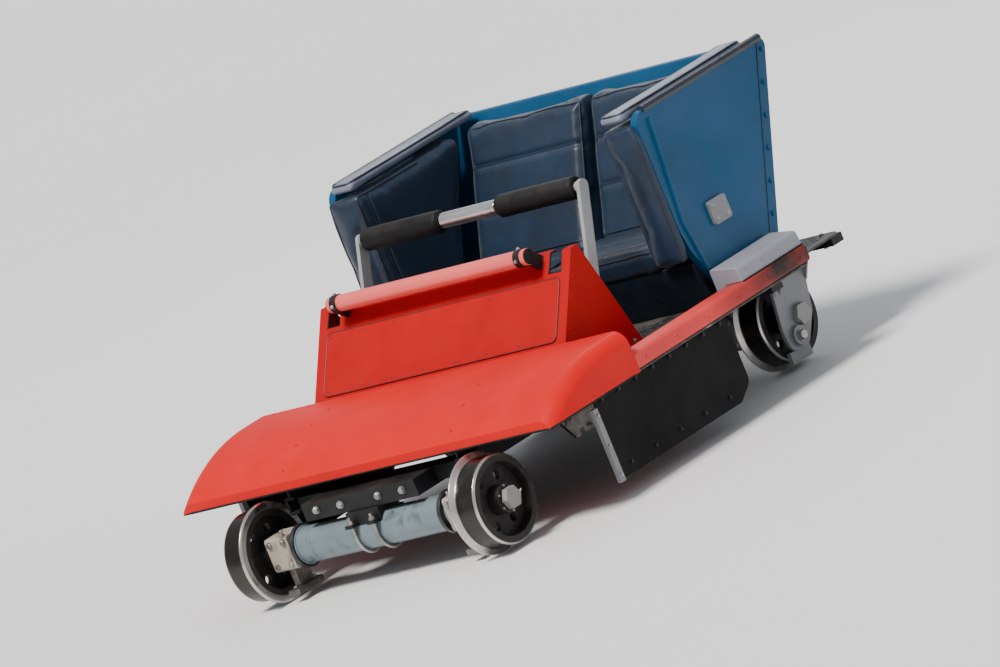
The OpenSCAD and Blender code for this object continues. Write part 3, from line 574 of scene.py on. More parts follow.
def template(name, build):
    bm = bmesh.new()
    build(bm)
    bmesh.ops.recalc_face_normals(bm, faces=bm.faces)
    return meshOf(name, bm)


def disc(bm, radius, low, high, segments=18, taper=1.0):
    middle = Matrix.Translation((0, 0, (low + high) / 2))
    bmesh.ops.create_cone(bm, cap_ends=True, segments=segments, radius1=radius, radius2=radius * taper,
                          depth=high - low, matrix=middle)


def ball(bm, around, along, radius, z=0.0):
    middle = Matrix.Translation((0, 0, z))
    bmesh.ops.create_uvsphere(bm, u_segments=around, v_segments=along, radius=radius, matrix=middle)


def rounded(bm, parts, offset, affect, segments):
    bmesh.ops.bevel(bm, geom=parts, offset=offset, affect=affect, segments=segments, profile=0.5, material=-1)


def pulled(bm, faces, lift):
    # draws faces out of their plane and gives the moved corners
    made = bmesh.ops.extrude_face_region(bm, geom=faces)["geom"]
    corners = [v for v in made if isinstance(v, bmesh.types.BMVert)]
    bmesh.ops.translate(bm, vec=(0, 0, lift), verts=corners)
    return corners


def slab(bm, low, high, rounding=0.0015):
    low, high = Vector(low), Vector(high)
    made = bmesh.ops.create_cube(bm, size=1.0)["verts"]
    bmesh.ops.scale(bm, vec=high - low, verts=made)
    bmesh.ops.translate(bm, vec=(low + high) / 2, verts=made)
    rounded(bm, list({e for v in made for e in v.link_edges}), rounding, "EDGES", 2)


def turned(rows, x=0.0, z=0.0, steps=40):
    # closed outline of (y, radius) spun round a line across the car
    bm = bmesh.new()
    verts = [bm.verts.new((0, y, radius)) for y, radius in rows]
    chain = [bm.edges.new(pair) for pair in zip(verts, verts[1:] + verts[:1])]
    bmesh.ops.spin(bm, geom=verts + chain, cent=(0, 0, 0), axis=left, angle=2 * math.pi, steps=steps,
                   use_merge=True)
    bmesh.ops.remove_doubles(bm, verts=bm.verts, dist=0.00005)
    moved(bm, (x, 0, z))
    return bm


def tubeWall(low, high, inner, outer):
    # outline of a ring for turned
    return [(low, inner), (low, outer), (high, outer), (high, inner)]


def sweep(lines, radius, closed=False):
    curve = bpy.data.curves.new("sweep", "CURVE")
    curve.dimensions = "3D"
    curve.bevel_depth = radius
    curve.bevel_resolution = 2
    curve.use_fill_caps = True
    for points in lines:
        line = curve.splines.new("POLY")
        line.points.add(len(points) - 1)
        for spot, point in zip(line.points, points):
            spot.co = (*point, 1)
        line.use_cyclic_u = closed
    helper = objectOf("sweep", curve)
    mesh = evaluated(helper)
    bpy.data.objects.remove(helper)
    bm = bmesh.new()
    bm.from_mesh(mesh)
    bpy.data.meshes.remove(mesh)
    return bm


# Fasteners: a washer and hexagon head, a domed rivet, a socket screw, a grease nipple, one ripple of a weld
fastener = {"washerR": 0.0125, "washerT": 0.0025, "headR": 0.0110, "headH": 0.0078, "chamfer": 0.0014,
            "rivetR": 0.0048, "screwR": 0.0065, "turn": 0.35}
nipple = {"footR": 0.0062, "footH": 0.005, "neckR": 0.0030, "neckTop": 0.011, "ballR": 0.0040, "ballZ": 0.0125}


def buildBolt(bm):
    top = fastener["washerT"] + fastener["headH"]
    disc(bm, fastener["washerR"], 0, fastener["washerT"])
    disc(bm, fastener["headR"], fastener["washerT"], top - fastener["chamfer"], 6)
    disc(bm, fastener["headR"], top - fastener["chamfer"], top, 6, 0.86)


def buildRivet(bm):
    ball(bm, 12, 8, fastener["rivetR"])
    whole = bm.verts[:] + bm.edges[:] + bm.faces[:]
    bmesh.ops.bisect_plane(bm, geom=whole, plane_co=(0, 0, 0), plane_no=up, clear_inner=True)
    scaled(bm, (1, 1, 0.5))
    bmesh.ops.contextual_create(bm, geom=[e for e in bm.edges if e.is_boundary])


def buildScrew(bm):
    r = fastener["screwR"]
    disc(bm, r, 0, r * 0.5, 16, 0.9)
    top = max(bm.faces, key=lambda f: f.calc_center_median().z)
    bmesh.ops.inset_region(bm, faces=[top], thickness=r * 0.42)
    pulled(bm, [top], -r * 0.35)
    bmesh.ops.delete(bm, geom=[top], context="FACES_ONLY")


def buildNipple(bm):
    disc(bm, nipple["footR"], 0, nipple["footH"], 6)
    disc(bm, nipple["neckR"], nipple["footH"], nipple["neckTop"], 10)
    ball(bm, 10, 6, nipple["ballR"], nipple["ballZ"])


def buildRipple(bm):
    ball(bm, 8, 6, 1.0)
    scaled(bm, (1, 1, 0.8))


beads = {"wide": 0.004, "plain": 0.0036, "narrow": 0.003, "fine": 0.0026}
weldSink = 0.001  # how far a weld's middle lies inside the edge it follows
boltMesh = template("boltShape", buildBolt)
rivetMesh = template("rivetShape", buildRivet)
screwMesh = template("screwShape", buildScrew)
nippleMesh = template("nippleShape", buildNipple)
rippleMesh = template("rippleShape", buildRipple)


def grid(xs, ys, zs, axis, size=1.0):
    # spots for fasteners: rows of (point, direction it faces, size)
    xs, ys, zs = (given if isinstance(given, (list, tuple)) else [given] for given in (xs, ys, zs))
    return [((x, y, z), axis, size) for x in xs for y in ys for z in zs]


def fasten(name, shape, spots, material="zinc", body="chassis", twice=True):
    # the spots are used on both sides of the car unless twice is false
    if twice:
        spots = spots + [((p[0], -p[1], p[2]), (axis[0], -axis[1], axis[2]), size) for p, axis, size in spots]
    bm = bmesh.new()
    stamp(bm, shape, [facing(p, axis, fastener["turn"] * i, size) for i, (p, axis, size) in enumerate(spots)])
    asPiece(name, bm, material, 30, body)


def weldLine(bm, start, end, bead=beads["plain"]):
    start, end = Vector(start), Vector(end)
    count = max(2, int((end - start).length / (bead * 0.9)))
    ripples = [facing(start.lerp(end, i / count), end - start, i * 0.9, bead) for i in range(count + 1)]
    stamp(bm, rippleMesh, ripples)


def weldRing(bm, centre, radius, bead=beads["wide"]):
    # a weld round a line across the car
    count = int(2 * math.pi * radius / (bead * 0.95))
    look = Vector(left).to_track_quat("Z", "Y").to_matrix()
    for i in range(count):
        turn = 2 * math.pi * i / count
        out = look @ Vector((math.cos(turn), math.sin(turn), 0))
        along = look @ Vector((-math.sin(turn), math.cos(turn), 0))
        stamp(bm, rippleMesh, [facing(Vector(centre) + out * radius, along, 0, bead)])


# Wheels and bearing blocks: screws on the hubs, bolts and nipples on the blocks, pins through the nuts, welds
running = {"hubScrews": 6, "hubScrewR": 0.0360, "hubScrewSize": 0.30, "boltZ": 0.032, "boltIn": 0.016,
           "boltSize": 0.72, "nippleX": 0.036, "nippleIn": 0.02, "pinHalf": 0.029, "pinR": 0.0022,
           "pinIn": 0.006, "pinBend": 0.008}
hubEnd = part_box("front_wheel_left")[1].y
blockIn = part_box("front_block_left")[0].y
blockOut = outerY("front_block_left", frontX, axleZ + 0.042)
blockHalf = hit("front_block_left", (2, blockIn + running["nippleIn"], axleZ), (-1, 0, 0)).x - frontX
tubeR = axleZ - underOf("front_axle_tube", frontX, 0.1)
tubeEndR = axleZ - underOf("front_axle_tube", frontX, blockIn - 0.004)
for end, axleX, body in (("front", frontX, "front_truck"), ("rear", rearX, "chassis")):
    for side, label in ((1, "left"), (-1, "right")):
        spots = []
        for i in range(running["hubScrews"]):
            turn = 2 * math.pi * (i + 0.5) / running["hubScrews"]
            x, z = (running["hubScrewR"] * way(turn) for way in (math.cos, math.sin))
            spots += grid(axleX + x, side * hubEnd, axleZ + z, (0, side, 0), running["hubScrewSize"])
        wheel = f"{end}_wheel_{label}"
        fasten(wheel + "_hub_bolts", boltMesh, spots, body=wheel, twice=False)
    spots = []
    for s in (1, -1):
        spots += grid(axleX + s * blockHalf, (blockIn + running["boltIn"], blockOut - running["boltIn"]),
                      (axleZ - running["boltZ"], axleZ + running["boltZ"]), (s, 0, 0), running["boltSize"])
    fasten(end + "_block_bolts", boltMesh, spots, body=body)
    spots = grid(axleX + running["nippleX"], blockIn + running["nippleIn"], axleZ + blockHalf, up)
    fasten(end + "_grease_nipples", nippleMesh, spots, body=body)
    bm = bmesh.new()
    for side in (1, -1):
        weldRing(bm, (axleX, side * (blockIn - weldSink), axleZ), tubeEndR)
        weldRing(bm, (axleX, side * (ringBand[0] - 0.0005), axleZ), tubeR + 0.001, beads["narrow"])
    asPiece(end + "_axle_welds", bm, "axleGrey", 60, body)
    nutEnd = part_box(f"{end}_block_left")[1].y
    far = running["pinHalf"]
    pinY = nutEnd - running["pinIn"]
    bend = [(axleX + far * 1.25, pinY, axleZ), (axleX - far * 1.2, pinY, axleZ),
            (axleX - far * 1.4, pinY + 0.002, axleZ + running["pinBend"])]
    pairOf(end + "_split_pin", sweep([bend], running["pinR"]), "zinc", body=body)

# U-bolts that clamp the saddle to the front axle tube, through lugs on the saddle's ends
clamp = {"rod": 0.0055, "gap": 0.0006, "across": 0.040, "lugLow": 0.170, "lugHigh": 0.180, "lugHalf": 0.014,
         "lugIn": 0.002, "lugOut": 0.013, "top": 0.1985, "nutSize": 0.8}
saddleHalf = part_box("axle_saddle")[1].x - frontX
reach = tubeR + clamp["rod"] + clamp["gap"]
rods, lugs, nuts = [], bmesh.new(), []
for y in (clamp["across"], -clamp["across"]):
    arc = [(frontX + reach * math.cos(a), y, axleZ + reach * math.sin(a)) for a in evenly(0, -math.pi, 25)]
    rods.append([(frontX + reach, y, clamp["top"])] + arc + [(frontX - reach, y, clamp["top"])])
    for s in (1, -1):
        near, far = sorted(frontX + s * out for out in (saddleHalf - clamp["lugIn"], reach + clamp["lugOut"]))
        slab(lugs, (near, y - clamp["lugHalf"], clamp["lugLow"]), (far, y + clamp["lugHalf"], clamp["lugHigh"]))
        nuts += grid(frontX + s * reach, y, clamp["lugHigh"], up, clamp["nutSize"])
asPiece("saddle_u_bolts", sweep(rods, clamp["rod"]), "zinc", 50, "front_truck")
asPiece("saddle_lugs", lugs, "frameBlack", body="front_truck")
fasten("saddle_nuts", boltMesh, nuts, body="front_truck", twice=False)

# Hold-down shoes: two bolts into each block from below
shoe = {"boltX": 0.042, "boltSize": 0.6}
shoeLow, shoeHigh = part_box("front_rail_shoes")
shoeY = (innerY("front_rail_shoes", frontX, shoeLow.z + 0.004) + shoeHigh.y) / 2
spots = []
for x in (frontX + shoe["boltX"], frontX - shoe["boltX"]):
    spots += grid(x, shoeY, topOf("front_rail_shoes", x, shoeY), up, shoe["boltSize"])
fasten("shoe_bolts", boltMesh, spots, body="front_truck")

# Rear brackets: bolts up into the deck and through the plate, a capped boss with its nipple and weld
bracket = {"boltSize": 0.8, "flangeBoltX": 0.035, "plateBoltX": 0.036, "plateBoltDown": 0.022,
           "bossX": 0.042, "bossZ": 0.092, "bossSize": 1.35, "bossR": 0.0275, "nippleX": 0.015,
           "nippleZ": 0.038, "nippleSize": 0.9, "gussetIn": 0.0155, "gussetT": 0.009, "gussetDown": 0.006,
           "gussetLength": 0.056}
bracketLow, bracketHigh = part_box("rear_bracket_left")
plateOut = outerY("rear_bracket_left", rearX, axleZ + 0.045)
bossX, bossZ = rearX + bracket["bossX"], bracket["bossZ"]
flangeZ = underOf("rear_bracket_left", rearX - 0.02, bracketHigh.y - 0.01)
middleX = centreOf("rear_bracket_left")[0]
flangeY = (plateOut + bracketHigh.y) / 2
flangeXs = (middleX - bracket["flangeBoltX"], middleX + bracket["flangeBoltX"])
plateXs = evenly(middleX - bracket["plateBoltX"], middleX + bracket["plateBoltX"], 3)
spots = grid(flangeXs, flangeY, flangeZ, down, bracket["boltSize"])
spots += grid(plateXs, plateOut, flangeZ - bracket["plateBoltDown"], left, bracket["boltSize"])
spots += grid(bossX, outerY("rear_bracket_left", bossX, bossZ), bossZ, left, bracket["bossSize"])
fasten("bracket_bolts", boltMesh, spots)
spots = grid(bossX - bracket["nippleX"], plateOut, bossZ + bracket["nippleZ"], left, bracket["nippleSize"])
fasten("bracket_nipples", nippleMesh, spots)
bm = bmesh.new()
weldRing(bm, (bossX, plateOut, bossZ), bracket["bossR"], beads["narrow"])
top = flangeZ - bracket["gussetDown"]
foot = top - bracket["gussetLength"]
for x in (bracketLow.x + bracket["gussetIn"], bracketHigh.x - bracket["gussetIn"] - bracket["gussetT"]):
    weldLine(bm, (x, plateOut, top), (x, plateOut, foot), beads["fine"])
pairOf("bracket_welds", bm, "bracketGrey", 60)
print("running gear dressed")

# Frame: welds where bars cross rails, bolts through the rails' webs, the steering bolster and the drawbar
frameLook = {"boltSize": 1.05, "nearBolt": 0.018, "farBolt": 0.052, "barBolt": 0.012, "drawbarBolt": 0.015,
             "bolsterYs": (0.07, 0.16), "bolsterFoot": 0.212, "bolsterBolt": 0.9, "weldFoot": 0.008,
             "weldTop": 0.010}
railLow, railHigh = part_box("frame_rails")
railIn = innerY("frame_rails", 0, railLow.z + 0.003)
webZ = centreOf("frame_rails")[1]
barEdges = sorted({round(v.co.x, 4) for v in nodes["cross_bars"].data.vertices})
bars = list(zip(barEdges[::2], barEdges[1::2]))  # rear and front edge of each cross bar
bm = bmesh.new()
for rearEdge, frontEdge in bars:
    for x in (rearEdge, frontEdge):
        weldLine(bm, (x, railIn, railHigh.z), (x, railHigh.y, railHigh.z))
    for y in (railIn, railHigh.y):
        weldLine(bm, (rearEdge, y, railHigh.z), (frontEdge, y, railHigh.z), beads["narrow"])
pairOf("frame_welds", bm, "frameBlack", 60)
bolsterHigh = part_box("king_bolster")[1]
drawbarLow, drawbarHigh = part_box("drawbar")
footFront = extreme("king_bolster", (-1, 1, 0)).x
boltXs = [footFront + frameLook["nearBolt"], footFront + frameLook["farBolt"],
          drawbarHigh.x - frameLook["drawbarBolt"]]
boltXs += [(r + f) / 2 + frameLook["barBolt"] for r, f in bars[1:3]]
fasten("frame_bolts", boltMesh, grid(boltXs, railHigh.y, webZ, left, frameLook["boltSize"]))
boltZ = (bolsterHigh.z + frameLook["bolsterFoot"]) / 2
spots = grid(bolsterHigh.x, frameLook["bolsterYs"], boltZ, ahead, frameLook["bolsterBolt"])
fasten("bolster_bolts", boltMesh, spots)
bm = bmesh.new()
weldFoot, weldTop = railLow.z + frameLook["weldFoot"], railHigh.z - frameLook["weldTop"]
for x in (footFront + weldSink, drawbarHigh.x):
    weldLine(bm, (x, railIn - weldSink, weldFoot), (x, railIn - weldSink, weldTop))
pairOf("bolster_welds", bm, "frameBlack", 60)

# Brake fins welded under the cross bars
finLow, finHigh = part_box("brake_fins")
finIn = innerY("brake_fins", centreOf("brake_fins")[0], finHigh.z - 0.02)
bm = bmesh.new()
for rearEdge, frontEdge in bars:
    if finLow.x < rearEdge and frontEdge < finHigh.x:
        for y in (finIn, finHigh.y):
            weldLine(bm, (rearEdge, y, finHigh.z - weldSink), (frontEdge, y, finHigh.z - weldSink))
pairOf("fin_welds", bm, "wornSteel", 60)

# Catch dogs: washers and nuts on their pins, welds round the ears
dogLook = {"pinBack": 0.025, "pinDown": 0.052, "pinIn": 0.0065, "earX": 0.0255, "weldIn": 0.008,
           "weldLength": 0.008}
bm, pins = bmesh.new(), []
for dog in ("chain_dog", "rollback_dog"):
    low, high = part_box(dog)
    pinX = extreme(dog, (0.2, 0, 1)).x - dogLook["pinBack"]
    weldZ = high.z - weldSink
    for y, s in ((low.y, -1), (high.y, 1)):
        pins += grid(pinX, y - s * dogLook["pinIn"], high.z - dogLook["pinDown"], (0, s, 0))
    for x in (pinX + dogLook["earX"], pinX - dogLook["earX"]):
        for y in (low.y + dogLook["weldIn"], high.y - dogLook["weldIn"] - dogLook["weldLength"]):
            weldLine(bm, (x, y, weldZ), (x, y + dogLook["weldLength"], weldZ), beads["narrow"])
asPiece("dog_welds", bm, "wornSteel", 60)
fasten("dog_pin_nuts", boltMesh, pins, twice=False)

# Drawbar: welds along the gussets, a worn ring above and below the hitch eye
hitch = {"eyeR": 0.038, "ringIn": 0.0165, "ringOut": 0.027, "ringT": 0.0012, "gussetFront": 0.035,
         "gussetRear": 0.105}
armY = outerY("drawbar", drawbarHigh.x - 0.05, drawbarHigh.z - 0.004)
gussetFront, gussetRear = drawbarHigh.x - hitch["gussetFront"], drawbarHigh.x - hitch["gussetRear"]
gussetTop = topOf("drawbar", gussetFront, armY + 0.01)
bm = bmesh.new()
weldLine(bm, (gussetFront, armY, gussetTop), (gussetRear, armY, gussetTop), beads["narrow"])
pairOf("drawbar_welds", bm, "frameBlack", 60)
for name, z in (("upper", drawbarHigh.z), ("lower", drawbarLow.z - hitch["ringT"])):
    bm = turned(tubeWall(0, hitch["ringT"], hitch["ringIn"], hitch["ringOut"]))
    laid = Matrix.Translation((drawbarLow.x + hitch["eyeR"], 0, z)) @ Matrix.Rotation(math.pi / 2, 4, "X")
    bmesh.ops.transform(bm, matrix=laid, verts=bm.verts)
    asPiece("hitch_ring_" + name, bm, "zinc")
print("frame dressed")

# Deck: raised lugs of tread plate where feet go, worn bright on their tops, and bolts down into the cross bars
deckLook = {"pitch": 0.026, "length": 0.0125, "width": 0.0042, "height": 0.0016, "clear": 0.017,
            "border": 0.02, "boltRoom": 0.006, "seatRoom": 0.012, "tailRoom": 0.02, "panRoom": 0.06,
            "pivotWidth": 0.07, "cheekWidth": 0.018, "boltYs": (0.09, 0.25, 0.53), "boltSize": 0.55,
            "nutSize": 0.7}
dashLow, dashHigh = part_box("dash_cowl")
pivotLow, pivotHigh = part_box("lap_pivots")
sillLow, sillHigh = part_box("sills")
coverLow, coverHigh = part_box("wheel_covers")
sillIn = innerY("sills", *centreOf("sills"))
wingOut = broadFace("wing_left", left)[0].y
wingIn = broadFace("wing_left", right)[0].y
panFront = extreme("seat_pan", (0.3, 0, -1)).x
backFoot = extreme("wing_left", (-0.2, 0, -1)).x
deckBolts = [((r + f) / 2, y) for r, f in (bars[0], bars[2]) for y in deckLook["boltYs"]]


def buildLug(bm):
    bmesh.ops.create_circle(bm, cap_ends=True, segments=8, radius=1.0)
    scaled(bm, (deckLook["length"], deckLook["width"], 1))
    bmesh.ops.scale(bm, vec=(0.72, 0.55, 1), verts=pulled(bm, bm.faces[:], deckLook["height"]))


def lugFits(x, y):
    away, clear = abs(y), deckLook["clear"]
    room = clear + deckLook["boltRoom"]
    if any(abs(x - bx) < room and abs(away - by) < room for bx, by in deckBolts):
        return False
    if x < backFoot - deckLook["tailRoom"]:  # the tail behind the seat
        return away < wingOut - deckLook["seatRoom"]
    if away > wingOut + deckLook["seatRoom"]:  # the strips between the seat shell and the sills
        return away < sillIn - clear and x > coverHigh.x + clear
    if x < panFront + clear or (away > wingIn - clear and x < panFront + deckLook["panRoom"]):
        return False
    besidePivot = (pivotLow.x - clear < x < pivotHigh.x + clear
                   and pivotHigh.y - deckLook["pivotWidth"] - clear < away < pivotHigh.y + clear)
    cheekIn = dashHigh.y - deckLook["cheekWidth"]
    underCheek = x > dashLow.x - clear and cheekIn - clear < away < dashHigh.y + clear
    return not besidePivot and not underCheek


lugMesh = template("lugShape", buildLug)
pitch, tail, toe = deckLook["pitch"], deckLow.x + deckLook["border"], dashHigh.x - deckLook["border"]
places = []
for row in range(int(tail / pitch) - 1, int(toe / pitch) + 1):
    for column in range(-24, 25):
        x, y = row * pitch, column * pitch
        if tail < x < toe and lugFits(x, y):
            turn = math.pi / 4 * (1 if (row + column) % 2 else -1)
            places.append(facing((x, y, deckTop - hair / 2), up, turn))
bm = bmesh.new()
stamp(bm, lugMesh, places)
asPiece("deck_lugs", bm, "deckPlate", 60)
spots = [((x, y, deckTop), up, deckLook["boltSize"]) for x, y in deckBolts]
fasten("deck_bolts", boltMesh, spots)
spots = [((x, y, underOf("cross_bars", x, y)), down, deckLook["nutSize"]) for x, y in deckBolts]
fasten("deck_nuts", boltMesh, spots)
print("deck dressed with", len(places), "lugs")

# Skirts, straps, sills and covers: their bolts, screws and rivets
sides = {"skirtBolts": 8, "skirtIn": 0.03, "lowBolts": 5, "lowRear": 0.10, "lowFront": 0.05, "strapBolts": 3,
         "strapIn": 0.02, "sillScrews": 6, "sillIn": 0.04, "sillScrewZ": 0.024, "coverRivets": 4,
         "coverIn": 0.03, "coverFoot": 0.010, "coverTop": 0.022, "sealR": 0.0016, "angleHalf": 0.022,
         "angleT": 0.006, "angleDown": 0.045, "angleDeep": 0.048}
skirtLow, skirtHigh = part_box("skirt_left")
strapLow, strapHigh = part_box("skirt_straps")
barZ = (railHigh.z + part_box("cross_bars")[1].z) / 2
along = evenly(skirtLow.x + sides["skirtIn"], skirtHigh.x - sides["skirtIn"], sides["skirtBolts"])
spots = grid(along, skirtHigh.y, barZ, left, 0.6)
along = evenly(skirtLow.x + sides["lowRear"], skirtHigh.x - sides["lowFront"], sides["lowBolts"])
spots += grid(along, skirtHigh.y, skirtLow.z + sides["skirtIn"], left, 0.5)
fasten("skirt_bolts", boltMesh, spots, "frameBlack")
heights = evenly(strapLow.z + sides["strapIn"], strapHigh.z - sides["strapIn"], sides["strapBolts"])
spots = grid(centreOf("skirt_straps")[0], strapHigh.y, heights, left, 0.45)
fasten("strap_bolts", boltMesh, spots)
# angles behind the skirts, bolted to the cross bars' ends
bm = bmesh.new()
skirtIn, railTop, thick = skirtLow.y, railHigh.z, sides["angleT"]
for rearEdge, frontEdge in bars[2:]:
    middle = (rearEdge + frontEdge) / 2
    x1, x2 = middle - sides["angleHalf"], middle + sides["angleHalf"]
    slab(bm, (x1, skirtIn - thick, railTop - sides["angleDown"]), (x2, skirtIn - hair, railTop + 0.004))
    slab(bm, (x1, skirtIn - sides["angleDeep"], railTop - thick), (x2, skirtIn - thick / 2, railTop - hair))
pairOf("skirt_angles", bm, "frameBlack")
along = evenly(sillLow.x + sides["sillIn"], sillHigh.x - sides["sillIn"], sides["sillScrews"])
spots = grid(along, sillHigh.y, sillLow.z + sides["sillScrewZ"], left, 0.8)
fasten("sill_screws", screwMesh, spots, "sillRed")
spots = []
for x in evenly(coverLow.x + sides["coverIn"], coverHigh.x - sides["coverIn"], sides["coverRivets"]):
    for z in (sillHigh.z + sides["coverFoot"], coverHigh.z - sides["coverTop"]):
        spots += grid(x, outerY("wheel_covers", x, z), z, left)
fasten("cover_rivets", rivetMesh, spots, "coverLavender")
# sealant where the cover meets the sill
seal = [(x, coverHigh.y + 0.001, sillHigh.z + 0.0008) for x in (coverLow.x + 0.002, coverHigh.x - 0.002)]
pairOf("cover_seal", sweep([seal], sides["sealR"]), "rubberBlack")
print("sides dressed")

# Nose hood: screws down into the ribs and the bulkhead, screws along the sides, a rubber edge under the lip
hoodLook = {"screw": 0.6, "screwIn": 0.014, "ribScrews": 4, "ribRear": 0.11, "ribFront": 0.035,
            "bulkheadScrews": 5, "bulkheadYs": (0.07, 0.60), "sideScrews": 4, "sideScrew": 0.5,
            "sideScrewZ": 0.014, "sideRear": 0.03, "sideFront": 0.10, "edgeR": 0.0034, "edgeIn": 0.0022,
            "edgeTurn": 1.75, "edgePoints": 141}
hoodLow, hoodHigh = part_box("nose_hood")
along = evenly(hoodLow.x + hoodLook["ribRear"], hoodHigh.x - hoodLook["ribFront"], hoodLook["ribScrews"])
places = [(x, railIn + hoodLook["screwIn"], 1) for x in along]
bulkheadX = (bars[3][0] + bars[3][1]) / 2
places += [(bulkheadX, y, 1) for y in evenly(*hoodLook["bulkheadYs"], hoodLook["bulkheadScrews"])]
spots = [(spot, normal, hoodLook["screw"]) for spot, normal in hits("nose_hood", places, down)]
along = evenly(hoodLow.x + hoodLook["sideRear"], hoodHigh.x - hoodLook["sideFront"], hoodLook["sideScrews"])
spots += grid(along, hoodHigh.y, hoodLow.z + hoodLook["sideScrewZ"], left, hoodLook["sideScrew"])
fasten("hood_screws", screwMesh, spots, "noseRed")
eye = Vector((hoodLow.x + 0.15, 0, hoodLow.z + 0.001))
line = []
for turn in evenly(-hoodLook["edgeTurn"], hoodLook["edgeTurn"], hoodLook["edgePoints"]):
    out = Vector((math.cos(turn), math.sin(turn), 0))
    spot = hit("nose_hood", eye + out * 2, -out)
    if spot is not None:
        line.append(Vector((spot.x, spot.y, hoodLow.z)) - out * hoodLook["edgeIn"])
asPiece("hood_edge", sweep([line], hoodLook["edgeR"]), "rubberBlack", 50)
print("nose dressed")

# Dash: a bare plate with a rim, rubber round the arms' slots, bolts and rivets, clamps and caps on the bar
dashLook = {"plateT": 0.002, "plateIn": 0.035, "plateLow": 0.030, "plateHigh": 0.212, "corner": 0.016,
            "rimR": 0.0024, "slotIn": 0.392, "slotOut": 0.438, "slotDrop": 0.048, "trimR": 0.0032,
            "sheet": 0.005, "rivetIn": 0.018, "rivetEdge": 0.014, "footBoltZ": 0.018, "cheekRivetIn": 0.014,
            "clampLength": 0.021, "clampT": 0.003, "clampBolt": 0.45, "bracketT": 0.012}
foldEdge = extreme("dash_cowl", (1, 0, 0.001))
topEdge = extreme("dash_cowl", (0.5, 0, 1))
topRear = extreme("dash_cowl", (-0.2, 0, 1)).x
upDash = Vector((topEdge.x - foldEdge.x, 0, topEdge.z - foldEdge.z))
dashLength = upDash.length
upDash.normalize()
outDash = Vector((upDash.z, 0, -upDash.x))
half = dashHigh.y - dashLook["plateIn"]
plateLow, plateHigh, plateT = dashLook["plateLow"], dashLook["plateHigh"], dashLook["plateT"]


def onDash(rise, y, out=0.0):
    return Vector((foldEdge.x, y, foldEdge.z)) + upDash * rise + outDash * out


bm = bmesh.new()
bmesh.ops.create_grid(bm, x_segments=1, y_segments=1, size=0.5)
scaled(bm, (2 * half, plateHigh - plateLow, 1))
rounded(bm, bm.verts[:], dashLook["corner"], "VERTICES", 5)
plate = max(bm.faces, key=lambda f: f.calc_area())
rim = [loop.vert.co.copy() for loop in plate.loops]
pulled(bm, [plate], plateT)
laid = Matrix.Translation(onDash((plateHigh + plateLow) / 2, 0, hair))
laid = laid @ Matrix((Vector(left), upDash, outDash)).transposed().to_4x4()
bmesh.ops.transform(bm, matrix=laid, verts=bm.verts)
asPiece("dash_plate", bm, "dashRed", 30)
rim = [laid @ Vector((p.x, p.y, plateT * 0.6)) for p in rim]
asPiece("dash_plate_rim", sweep([rim], dashLook["rimR"], True), "trimMaroon", 50)
rivetY, rivetEdge = half - dashLook["rivetIn"], dashLook["rivetEdge"]
spots = [(onDash(rise, y, plateT), outDash, 0.8) for y in evenly(-rivetY, rivetY, 8)
         for rise in (plateLow + rivetEdge, plateHigh - rivetEdge)]
fasten("dash_plate_rivets", rivetMesh, spots, "trimMaroon", twice=False)

slotRise = (topEdge.z - dashLook["slotDrop"] - foldEdge.z) / upDash.z
sunk = -dashLook["sheet"] / 2
topZ = topEdge.z + sunk
path = []
for y, order in ((dashLook["slotIn"], 1), (dashLook["slotOut"], -1)):
    path += [(topRear + 0.004, y, topZ), (topEdge.x - 0.002, y, topZ), onDash(slotRise, y, sunk)][::order]
pairOf("slot_trim", sweep([path], dashLook["trimR"]), "rubberBlack", 50)
along = evenly(dashLow.x + 0.035, dashHigh.x - 0.02, 5)
spots = grid(along, dashHigh.y, deckTop + dashLook["footBoltZ"], left, 0.5)
fasten("dash_foot_bolts", boltMesh, spots)
spots = [(onDash(rise, dashHigh.y, -dashLook["cheekRivetIn"]), left, 0.8)
         for rise in evenly(0.012, dashLength - 0.03, 6)]
hemFoot, hemTop = extreme("dash_cowl", (-1, 0, -0.1)), Vector((topRear, 0, topEdge.z))
for part in evenly(0.12, 0.9, 5):
    spot = hemFoot.lerp(hemTop, part)
    spots += grid(spot.x + dashLook["cheekRivetIn"], dashHigh.y, spot.z, left, 0.7)
fasten("dash_cheek_rivets", rivetMesh, spots, "dashRed")

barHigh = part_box("dash_bar")[1]
barX, barMidZ = centreOf("dash_bar")
barR = barHigh.x - barX
clampEnd = hit("dash_bar_brackets", onDash(dashLength - 0.022, 0.2, 0.02), left).y - 0.001
clampStart, clampMiddle = clampEnd - dashLook["clampLength"], clampEnd - dashLook["clampLength"] / 2
# the cap's outline: how far past the bar's end, and the share of its radius
capShape = ((-0.001, 0.0), (-0.001, 0.93), (0.002, 0.93), (0.004, 0.7), (0.004, 0.0))
cap = [(barHigh.y + past, barR * share) for past, share in capShape]
pairOf("dash_bar_cap", turned(cap, barX, barMidZ), "rubberBlack")
collar = tubeWall(clampStart, clampEnd, barR + hair, barR + dashLook["clampT"])
pairOf("dash_bar_clamp", turned(collar, barX, barMidZ), "frameBlack")
clampR = barR + dashLook["clampT"] - hair
spots = grid(barX, clampMiddle, barMidZ + clampR, up, dashLook["clampBolt"])
spots += grid(barX + clampR, clampMiddle, barMidZ, ahead, dashLook["clampBolt"])
fasten("dash_clamp_bolts", boltMesh, spots)
bm = bmesh.new()
for y in (clampEnd + 0.0005, clampEnd + 0.0005 + dashLook["bracketT"]):
    weldLine(bm, onDash(dashLength - 0.040, y, 0.001), onDash(dashLength - 0.006, y, 0.001), beads["fine"])
pairOf("dash_bracket_welds", bm, "frameBlack", 60)
print("dash dressed")

